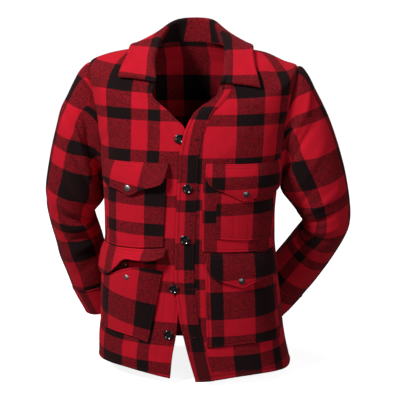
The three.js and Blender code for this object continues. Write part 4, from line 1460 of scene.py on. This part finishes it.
@dataclass
class Jacket:
    """The whole jacket, piece by piece."""

    form: BodyForm = field(default_factory=BodyForm)
    button_places: Table = (
        (-1, -18.5, 588.6, 0), (1, 6, 446, 1), (1, 2.8, 331.7, 1), (1, -23, 219, 1), (-1, -40.3, 108.7, 0),
    )
    # Middle of each buttonhole: across and up, on the strip.
    holes: Table = ((26, 588), (20, 444), (18, 331), (17, 220), (10, 108))
    cap: Table = ((0, 2.4), (2.2, 2.3), (4.2, 1.9), (6.0, 1.2), (7.1, 0.8), (7.5, 0.3), (7.5, 0), (0, 0))
    stud: Table = (
        (0, 3.2), (1.6, 3.1), (2.1, 2.6), (2.0, 1.6), (2.6, 1.2), (5.2, 1.0), (5.7, 0.5), (5.6, 0), (0, 0),
    )
    ring: Table = ((3.2, 1.4), (4.3, 1.7), (5.4, 1.5), (6.2, 0.8), (6.2, 0), (2.6, 0), (2.6, 1))
    wool: bpy.types.Material = field(init=False)
    thread: bpy.types.Material = field(init=False)

    def __post_init__(self) -> None:
        """Makes the finishes that most pieces share."""
        self.wool = PlaidWool().build()
        self.thread = THREAD.build()

    def keep(self, piece: bpy.types.Object, node: str | None = None) -> bpy.types.Object:
        """Hides the CAD node that a piece stands for, if it replaces one, and logs the piece's faces.

        Args:
            piece: the object.
            node: the CAD node, if it replaces one.

        Returns:
            The piece.
        """
        if node:
            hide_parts(node)
        LOG.info("%s: %d faces", piece.name, len(piece.data.polygons))
        return piece

    def panel(self, name: str, cloth: Cloth, wall: float, rim: float = 0.8) -> bpy.types.Object:
        """Sews one piece of cloth and records it."""
        return self.keep(sew(f"{name}_wool", cloth, wall, self.wool, rim), name)

    def stitch(self, name: str, lines: list[tuple[Array, Array]]) -> bpy.types.Object:
        """Makes and records the stitches of one piece."""
        return self.keep(Stitching(self.thread).build(f"{name}_stitches", lines))

    def body(self) -> Panels:
        """Makes the fronts, the back and the strip with the buttonholes."""
        panels = Panels(self.form)
        right, left = panels.front_cloth(-1), panels.front_cloth(1)
        back, band = panels.back_cloth(), panels.band_cloth()
        across, down = np.linspace(0.002, 0.998, 500), np.linspace(0.002, 0.99, 400)
        hem = np.full(500, HEM_STITCH / self.form.neck)
        band_lines = [band.at(np.full(400, s), down) for s in (0.17, 0.885)]
        for name, cloth, wall, lines in (
            ("front_right", right, panels.wall, self.right_lines(panels, right)),
            ("front_left", left, panels.wall, self.left_lines(left)),
            ("back", back, panels.wall, [back.at(across, hem)]),
            ("front_band", band, panels.band_wall, band_lines),
        ):
            sheet_of(self.panel(name, cloth, wall), cloth)
            self.stitch(name, lines)
        self.buttonholes(band, panels)
        return panels

    def right_lines(self, panels: Panels, cloth: Cloth) -> list[tuple[Array, Array]]:
        """Stitch lines of the right front: edge, facing, hem and armhole."""
        t = np.linspace(0.003, 0.995, 420)
        up = t * self.form.neck
        far = panels.side(up, False) * 2 * self.form.arc(up) - panels.seam
        wide = far - panels.edge(-1, up)
        lines = [cloth.at(1 - 7.0 / wide, t)]
        low = up < 640
        lines.append(cloth.at((1 - 37.0 / wide)[low], t[low]))
        lines.append(cloth.at(np.linspace(0.004, 0.996, 300), np.full(300, HEM_STITCH / self.form.neck)))
        arm = (up > self.form.arm_low + 4) & (up < self.form.arm_top - 2)
        lines.append(cloth.at((ARM_STITCH / wide)[arm], t[arm]))
        return lines

    def left_lines(self, cloth: Cloth) -> list[tuple[Array, Array]]:
        """Stitch lines of the left front: hem and armhole."""
        t = np.linspace(0.003, 0.995, 420)
        up = t * self.form.neck
        arm = (up > self.form.arm_low + 4) & (up < self.form.arm_top - 2)
        s = 1 - ARM_STITCH / 255
        return [
            cloth.at(np.linspace(0.18, 0.996, 300), np.full(300, HEM_STITCH / self.form.neck)),
            cloth.at(np.full(arm.sum(), s), t[arm]),
        ]

    def buttonholes(self, cloth: Cloth, panels: Panels) -> None:
        """Works the five buttonholes on the strip."""
        bm = bmesh.new()
        for across, up in self.holes:
            first = float(panels.edge(1, np.array([up]))[0])
            s = (across - first) / (panels.band_width + 1.5)
            p, n = cloth.at(np.array([s]), np.array([up / self.form.neck]))
            Buttonhole().add(bm, p[0], n[0])
        self.keep(link("front_band_buttonholes", bm, self.thread))

    def patches(self) -> dict[str, Patch]:
        """Makes the pockets and flaps."""
        found = {}
        for patch in PATCHES:
            cloth = patch.weave(self.form)
            sheet_of(self.panel(patch.name, cloth, patch.wall), cloth)
            self.stitch(patch.name, patch.lines())
            found[patch.name] = patch
        return found

    def sleeves(self) -> None:
        """Makes the sleeves and cuffs."""
        for make in (right_sleeve, left_sleeve):
            sleeve = make(self.form)
            cloth, count = sleeve.cloth()
            for kind, rows, wall in (
                ("sleeve", slice(0, count), sleeve.wall),
                ("cuff", slice(count, None), sleeve.cuff_wall),
            ):
                name = f"{kind}_{sleeve.name}"
                part = Cloth(cloth.points[rows], cloth.plaid[rows], cloth.s, cloth.t[rows], True)
                sheet_of(self.panel(name, part, wall), part)
                if kind == "cuff":
                    self.stitch(name, [(part.points[row], part.outs[row]) for row in (6, len(part.t) - 8)])

    def collar(self) -> None:
        """Makes the collar."""
        collar = Collar(self.form, COLLAR_LEFT, COLLAR_RIGHT, cut=Cut(across=-180, down=52, flip_down=True))
        cloth = collar.weave()
        sheet_of(self.panel("collar", cloth, collar.wall, collar.rim), cloth)
        self.stitch("collar", collar.lines())

    def fittings(self, patches: dict[str, Patch], panels: Panels) -> None:
        """Makes the buttons and snaps.

        Args:
            patches: the pockets and flaps that carry the snaps.
            panels: the fronts that carry the buttons.
        """
        black, dark = BUTTON.build(), HOLE_SHADE.build()
        nickel, nickel_shade, brass = NICKEL.build(), NICKEL_PAINTED_SHADE.build(), BRASS.build()
        buttons = Buttons()
        for k, (side, across, up, over) in enumerate(self.button_places):
            stand = panels.band_gap + panels.band_wall + 0.6 if over else 0.6
            place = (np.array([across * side]), np.array([up]))
            at = self.form.front(int(side), *place, stand)[0]
            u = np.array([across]) / (2 * self.form.arc(np.array([up])))
            out = self.form.normal(u, np.array([up]))[0]
            name = f"button_{k + 1}"
            made = buttons.build(name, at, out, black, dark, self.thread)
            for piece, node in zip(made, (name, None, None)):
                self.keep(piece, node)
        for name, profile, finish, patch, across, up, slot in (
            ("snap_chest_right", self.cap, nickel, "chest_flap_right", 128, 441.5, Slot.SNAP),
            # The caps on the left pockets take the darker copy of the nickel: painted shade.
            ("snap_chest_left", self.cap, nickel_shade, "chest_flap_left", 134, 433.7, Slot.SNAP),
            ("snap_lower_left", self.cap, nickel_shade, "lower_flap_left", 127.5, 236.8, Slot.SNAP),
            ("snap_stud_right", self.stud, nickel, "lower_pocket_right", 128, 238.6, Slot.SNAP),
        ):
            at, out = patches[patch].at(across, up)
            self.keep(Turned(f"{name}_metal", profile).build(at + out * 0.2, out, finish), name)
        u = np.array([-143.0]) / (2 * self.form.arc(np.array([262.0])))
        at, out = self.form.skin(u, np.array([262.0]), 0.6)[0], self.form.normal(u, np.array([262.0]))[0]
        ring = Turned("snap_socket_right_metal", self.ring).build(at, out, brass)
        self.keep(ring, "snap_socket_right")

    def build(self) -> None:
        """Makes every piece."""
        panels = self.body()
        self.sleeves()
        self.collar()
        patches = self.patches()
        self.fittings(patches, panels)


def sheet_of(piece: bpy.types.Object, cloth: Cloth) -> None:
    """Works out the width, length and area of a piece of cloth laid flat, from its grid; the figures are not
    used.

    Args:
        piece: the object; not used.
        cloth: its grid.
    """
    grid = cloth.points * MM
    across = np.linalg.norm(np.diff(grid, axis=1), axis=2).sum(1)
    along = np.linalg.norm(np.diff(grid, axis=0), axis=2).sum(0)
    a, b = grid[:-1, :-1], grid[1:, 1:]
    c, d = grid[:-1, 1:], grid[1:, :-1]
    area = 0.5 * np.linalg.norm(np.cross(b - a, d - c), axis=2).sum()
    width, length = float(across.max()), float(along.max())
    area = float(min(max(area, 0.31 * width * length), width * length))


CHEST_POCKET_RIGHT: Table = (
    (40, 46, 490, 312, 0, 1, 0), (72, 76, 490, 309, 0, 1.2, 0), (106, 108, 490, 306, 0, 1.2, 0),
    (140, 140, 490, 304, 0, 1.2, 0), (172, 172, 490, 302, 0, 1.2, 0), (204, 205, 490, 301, 0, 1, 0),
)
CHEST_FLAP_RIGHT: Table = (
    (39, 43, 510, 473, 0, 9, 12), (46, 50, 510, 458, 0, 10, 17), (58, 62, 509, 451, 0, 10.6, 20),
    (82, 84, 508, 444, 0, 10, 16), (106, 106, 507, 434, 0, 9.4, 9.6), (126, 126, 506, 424, 0, 9, 7.6),
    (146, 147, 505, 432, 0, 9, 7.6), (168, 169, 504, 437, 0, 9, 8.8), (190, 191, 503, 444, 0, 9, 10),
    (201, 204, 503, 456, 0, 9, 11),
)
LOWER_POCKET_RIGHT: Table = (
    (47, 88, 257, 82, 0, 2, 0), (72, 110, 262, 88, 8, 6, 0), (106, 132, 264, 92, 13, 8, 0),
    (140, 158, 254, 94, 13, 8, 0), (172, 186, 240, 95, 9, 7, 0), (204, 213, 238, 95, 5, 5, 0),
    (236, 240, 238, 95, 0, 2, 0),
)
LOWER_FLAP_RIGHT: Table = (
    (40, 42, 309.5, 292, 0, 6, 10), (52, 55, 309, 288, 0, 12, 22), (72, 74, 307.5, 285, 0, 16, 30),
    (98, 100, 305, 285, 0, 17, 32), (124, 126, 303.5, 283, 0, 16, 29), (146, 148, 302, 261, 0, 13, 23),
    (168, 171, 300.5, 241, 0, 10, 17), (190, 194, 299.5, 232, 0, 9, 13), (212, 217, 299, 231, 0, 8, 11),
    (228, 233, 298.5, 240, 0, 7, 10),
)
CHEST_POCKET_LEFT: Table = (
    (40, 41, 492, 306, 0, 0.8, 0), (72, 72, 492, 304, 0, 0.8, 0), (106, 106, 492, 302, 0, 0.8, 0),
    (140, 140, 492, 300, 0, 0.8, 0), (172, 172, 492, 298, 0, 0.8, 0), (204, 204, 492, 297, 0, 0.8, 0),
    (232, 236, 492, 296, 0, 0.8, 0),
)
PENCIL_POCKET_LEFT: Table = (
    (70, 72, 484, 334, 3.2, 4.2, 3.2), (96, 97, 484, 331, 3.2, 5.4, 3.2), (122, 122, 484, 328, 3.2, 5.4, 3.2),
    (148, 148, 484, 326, 3.2, 5.4, 3.2), (176, 176, 484, 324, 3.2, 5.4, 3.2),
    (200, 202, 484, 322, 3.2, 4.6, 3.2),
    (216, 218, 484, 321, 3.2, 4.2, 3.2),
)
CHEST_FLAP_LEFT: Table = (
    (44, 44, 510, 474, 0, 6.6, 8), (52, 53, 510, 458, 0, 8.6, 9), (65, 65, 509, 446, 0, 10, 9.6),
    (84, 84, 508, 439, 0, 10.4, 9.6), (106, 106, 507, 429, 0, 10.4, 9.6), (129, 129, 506, 417, 0, 10.4, 9.6),
    (152, 152, 505, 423, 0, 10.4, 9.6), (176, 176, 504, 425, 0, 10.4, 9.6), (202, 202, 503, 427, 0, 10.4, 10),
    (226, 227, 503, 434, 0, 9.4, 10), (236, 240, 503, 446, 0, 8, 10),
)
LOWER_POCKET_LEFT: Table = (
    (49, 47, 282, 82, 0, 1, 0), (72, 72, 281, 82, 0, 2.4, 0), (106, 106, 280, 83, 0, 3, 0),
    (140, 140, 278, 84, 0, 3, 0), (172, 172, 276, 82, 0, 3, 0), (204, 206, 275, 80, 0, 2.4, 0),
    (238, 243, 274, 78, 0, 1, 0),
)
LOWER_FLAP_LEFT: Table = (
    (51, 50, 303, 266, 0, 6, 8), (60, 60, 302.5, 251, 0, 7, 8.4), (73, 73, 302, 241, 0, 7.4, 8.6),
    (90, 90, 300, 234, 0, 7.6, 8.6), (110, 110, 299, 227, 0, 7.6, 8), (131, 131, 298, 220, 0, 7.4, 7.6),
    (150, 150, 296.5, 227, 0, 7.6, 8), (172, 172, 295, 231, 0, 7.6, 8.6), (198, 199, 294, 233, 0, 7.4, 9),
    (222, 224, 293, 236, 0, 7, 9), (234, 240, 293, 247, 0, 6, 9),
)
# Collar stations: neck, fold x, y and z, edge u and up.
COLLAR_LEFT: Table = (
    (1, 0, 84, 58, 1, 795), (0.9, 22, 81, 57, 0.9, 795), (0.8, 42, 70, 53, 0.8, 795),
    (0.7, 56, 50, 44, 0.7, 796),
    (0.6, 67, 24, 30, 0.6, 797), (0.52, 74, -1, 12, 0.53, 798), (0.45, 77, -24, -9, 0.465, 797),
    (0.38, 78, -47, -31, 0.415, 792), (0.31, 77, -69, -52, 0.365, 775), (0.24, 74, -88, -70, 0.311, 735),
)
COLLAR_RIGHT: Table = (
    (1, 0, 84, 58, 1, 795), (0.9, -24, 81, 57, 0.9, 795), (0.8, -46, 70, 53, 0.8, 795),
    (0.7, -62, 50, 44, 0.7, 796), (0.6, -73, 24, 29, 0.6, 797), (0.52, -80, -1, 11, 0.53, 799),
    (0.45, -83, -24, -9, 0.475, 799), (0.38, -84, -47, -31, 0.43, 796), (0.31, -82, -69, -52, 0.388, 778),
    (0.24, -80, -87, -71, 0.347, 751),
)

PATCHES: tuple[Patch, ...] = (
    Patch("chest_pocket_right", -1, CHEST_POCKET_RIGHT, Cut(across=-91, down=-170), stitches=(5.5, 12)),
    Patch("lower_pocket_right", -1, LOWER_POCKET_RIGHT, Cut(across=-110, down=115, turn=9.4)),
    Patch("chest_pocket_left", 1, CHEST_POCKET_LEFT, Cut(across=147, down=-204), stitches=(5.0,)),
    Patch("pencil_pocket_left", 1, PENCIL_POCKET_LEFT, Cut(across=154, down=-220), stitches=(5.0, 9.5),
          pleats=(39, 72, 112)),
    Patch("lower_pocket_left", 1, LOWER_POCKET_LEFT, Cut(across=160, down=88)),
    Patch("chest_flap_right", -1, CHEST_FLAP_RIGHT, Cut(across=-103, down=-150, turn=8), stitches=(5.0,),
          top_stitches=(4.5, 10.5)),
    Patch("lower_flap_right", -1, LOWER_FLAP_RIGHT, Cut(across=-91, down=60), stitches=(5.0,),
          top_stitches=(4.5, 10.5)),
    Patch("chest_flap_left", 1, CHEST_FLAP_LEFT, Cut(across=160, down=-280), stitches=(5.0,),
          top_stitches=(4.5, 10.5)),
    Patch("lower_flap_left", 1, LOWER_FLAP_LEFT, Cut(across=160, down=-4), stitches=(5.0,),
          top_stitches=(4.5, 10.5)),
)


def right_sleeve(form: BodyForm) -> Sleeve:
    """The right sleeve with its tables."""
    return Sleeve(
        "right", -1, form,
        rings=(
            (-250, -44, -217, -291, 3, 55), (-265, -59, -221, -298, 3, 60), (-279, -83, -217, -308, 4, 64),
            (-293, -110, -213.5, -320, 5, 67), (-308, -140, -212.5, -332, 5, 69),
            (-319, -178, -212, -344, 8, 68),
            (-330, -217, -213, -356, 11, 67), (-339, -256, -219, -369, 15, 66),
            (-347, -296, -230, -382, 20, 64),
            (-353, -334, -238, -392, 26, 62), (-354, -368, -241, -402, 32, 60),
            (-351, -400, -238.5, -416, 40, 59),
            (-347, -436, -233, -434, 50, 58), (-340, -472, -227, -456, 58, 57),
            (-334, -508, -222, -480, 65, 56),
            (-322, -548, -213, -518, 76, 54), (-309, -596, -208, -568, 90, 52),
        ),
        cuff=(
            (-300, -620, -202, -592, 97, 50), (-290, -643, -195, -616, 105, 49),
            (-281, -663, -189, -637, 112, 48),
        ),
        cut=Cut(across=146, down=312, flip_across=True, flip_down=True),
        cuff_cut=Cut(across=190, down=60, flip_across=True),
        puff=2.6,
        lean=((-1, 225), (1, 210), (3, 176), (5, 124), (7, 66), (9, 18), (11, 0), (20, 0)),
        creases=folds(
            (
                (3.0, 1.3, 5.2, 0.5, 12, -5.5), (5.2, 0.5, 7.4, 1.8, 13, -6.5), (2.4, 2.9, 4.8, 2.6, 15, 4.4),
                (4.8, 2.6, 6.8, 4.0, 14, 4.6), (5.4, 4.4, 7.6, 5.4, 13, -4.0), (5.0, 6.0, 8.4, 7.0, 15, 3.6),
                (4.0, 7.0, 8.6, 8.4, 12, -4.4), (4.2, 8.6, 8.8, 9.4, 11, 4.0),
                (4.0, 9.7, 9.4, 10.2, 11, -6.8),
                (4.0, 11.1, 8.8, 11.0, 12, 4.8), (4.2, 12.5, 8.8, 11.9, 11, -5.0),
                (4.6, 13.4, 8.8, 13.0, 11, 3.6),
                (3.2, 13.8, 6.6, 13.0, 13, 2.6), (4.0, 15.0, 7.4, 14.2, 12, -2.4),
                (0.6, 9.4, 3.2, 10.4, 14, -2.4),
                (12.0, 9.6, 16.0, 10.6, 16, -4), (12.4, 12.2, 16.2, 11.6, 15, 2.8),
                (14.0, 3.4, 16.0, 5.2, 18, -4),
            )
        ),
    )


def left_sleeve(form: BodyForm) -> Sleeve:
    """The left sleeve with its tables."""
    return Sleeve(
        "left", 1, form,
        rings=(
            (250, -43, 207, -291, 3, 55), (266, -64, 209.5, -299, 3, 60), (281, -94, 205, -309, 4, 64),
            (297, -124, 203.5, -320, 5, 67), (315, -162, 207, -331, 6, 69), (330, -202, 214, -343, 9, 68),
            (343, -242, 225, -357, 13, 67), (353, -280, 236, -372, 18, 66), (361, -318, 246, -387, 23, 64),
            (367, -356, 253, -400, 30, 62), (370, -390, 256.5, -408, 37, 60),
            (368, -418, 256.5, -414, 44, 59),
            (358, -449, 253, -421, 54, 58), (344, -481, 246, -431, 65, 57), (327, -515, 231, -453, 80, 55),
            (307, -550, 213, -480, 95, 53), (285, -585, 192, -510, 110, 51), (262, -618, 172, -541, 124, 50),
        ),
        cuff=(
            (246, -640, 158, -563, 133, 48), (231, -660, 144, -586, 142, 47), (214, -679, 131, -610, 150, 46),
        ),
        cut=Cut(across=236.6, down=210, flip_across=True),
        cuff_cut=Cut(across=236.6, down=210, flip_across=True),
        lean=((-1, 223), (1, 208), (3, 161), (5, 97), (7, 48), (9, 4), (11, 0), (20, 0)),
        creases=folds(
            (
                (1.8, 1.2, 3.2, 1.6, 11, 4.8), (3.2, 1.6, 5.2, 0.8, 11, 5.6), (5.2, 0.8, 7.0, -0.1, 11, 5.0),
                (3.0, 3.1, 5.4, 2.3, 12, -5.4), (5.4, 2.3, 7.6, 1.5, 12, -4.6), (3.4, 4.4, 6.0, 4.8, 14, 3.8),
                (5.6, 6.0, 8.4, 6.6, 12, -3.8), (3.2, 7.4, 8.8, 7.7, 12, 4.8), (4.6, 8.8, 9.8, 9.1, 10, -6.8),
                (3.2, 10.0, 8.0, 10.4, 13, 4.6), (4.2, 11.5, 9.0, 11.3, 11, -5.4),
                (1.2, 9.2, 3.6, 11.0, 13, -2.6),
                (4.4, 12.6, 9.0, 12.2, 12, 4.4), (5.4, 13.8, 9.0, 13.2, 12, -3.6),
                (3.0, 14.2, 5.6, 15.6, 16, 2.6),
                (5.6, 15.0, 7.2, 17.2, 14, -2.6), (12.0, 10.6, 16.0, 11.6, 16, -4),
                (14.0, 3.4, 16.0, 5.2, 18, -4),
            )
        ),
    )


@dataclass
class Studio:
    """A plain pale floor that turns up behind the jacket, soft lights, and the camera."""

    aim: tuple[float, float, float] = (0, 0, -0.355)
    distance: float = 2.8
    azimuth: float = 5
    elevation: float = 12
    lens: float = 107.2
    shift: tuple[float, float] = (0.0175, -0.0025)
    floor: float = -0.762
    white: str = "#F6F6F7"
    # The paper glows a little, so that it stays white under light soft enough for the wool.
    glow: float = 0.86
    # The paper in metres: width and length, how much lies flat, its bend, and how far in front it starts.
    paper_size: tuple[float, float] = (16, 12.6)
    flat: float = 9.5
    bend: float = 1.6
    front: float = 5
    sky: float = 0.07
    # Each lamp's name, place, side in metres and power in watts.
    lamps: tuple[tuple, ...] = (
        ("key", (-2.1, -2.1, 2.0), 0.7, 112),
        ("fill", (1.8, -2.8, 0.5), 1.6, 26),
        ("top", (-0.3, 0.5, 2.4), 1.4, 14),
    )

    def backdrop(self) -> None:
        """Makes the floor and the curve behind it."""
        bm = bmesh.new()
        bmesh.ops.create_grid(bm, x_segments=2, y_segments=60, size=0.5)
        width, length = self.paper_size
        for v in bm.verts:
            along = (v.co.y + 0.5) * length
            turn = min(max(along - self.flat, 0) / self.bend, math.pi / 2)
            past = max(along - self.flat - self.bend * math.pi / 2, 0)
            y = min(along, self.flat) - self.front + self.bend * math.sin(turn)
            z = self.bend * (1 - math.cos(turn)) + past
            v.co = (v.co.x * width, y, z + self.floor)
        mesh = bpy.data.meshes.new("studio_floor")
        bm.to_mesh(mesh)
        bm.free()
        mesh.polygons.foreach_set("use_smooth", [True] * len(mesh.polygons))
        paper = PlainFinish("Matt seamless paper", self.white, 0.9, grain=2).build()
        shader = paper.node_tree.nodes["Principled BSDF"]
        shader.inputs["Emission Color"].default_value = linear("#FFFFFF")
        shader.inputs["Emission Strength"].default_value = self.glow
        mesh.materials.append(paper)
        floor = bpy.data.objects.new("studio_floor", mesh)
        floor.visible_diffuse = False
        floor.visible_glossy = False
        bpy.context.scene.collection.objects.link(floor)

    def light(self, name: str, place: tuple[float, float, float], size: float, power: float) -> None:
        """Adds a soft square light that looks at the jacket.

        Args:
            name: its name.
            place: where it stands.
            size: its side in metres.
            power: its power in watts.
        """
        data = bpy.data.lights.new(name, "AREA")
        data.size = size
        data.energy = power
        lamp = bpy.data.objects.new(name, data)
        lamp.location = place
        lamp.rotation_euler = (Vector(self.aim) - Vector(place)).to_track_quat("-Z", "Y").to_euler()
        bpy.context.scene.collection.objects.link(lamp)

    def camera(self) -> None:
        """Adds the camera at the photograph's angle."""
        el, az = math.radians(self.elevation), math.radians(self.azimuth)
        back = Vector((math.sin(az) * math.cos(el), -math.cos(az) * math.cos(el), math.sin(el)))
        data = bpy.data.cameras.new("camera")
        data.lens = self.lens
        data.sensor_width = 36
        data.shift_x, data.shift_y = self.shift
        camera = bpy.data.objects.new("camera", data)
        camera.location = Vector(self.aim) + back * self.distance
        camera.rotation_euler = (-back).to_track_quat("-Z", "Y").to_euler()
        bpy.context.scene.collection.objects.link(camera)
        bpy.context.scene.camera = camera

    def build(self) -> None:
        """Makes the studio."""
        self.backdrop()
        for lamp in self.lamps:
            self.light(*lamp)
        world = bpy.data.worlds.new("studio")
        world.use_nodes = True
        world.node_tree.nodes["Background"].inputs[0].default_value = linear("#FFFFFF")
        world.node_tree.nodes["Background"].inputs[1].default_value = self.sky
        bpy.context.scene.world = world
        bpy.context.scene.view_settings.view_transform = "Standard"
        self.camera()


def main() -> None:
    """Builds the studio and the jacket."""
    logging.basicConfig(level=logging.INFO, format="%(name)s: %(message)s")
    Studio().build()
    Jacket().build()


if __name__ == "__main__":
    main()
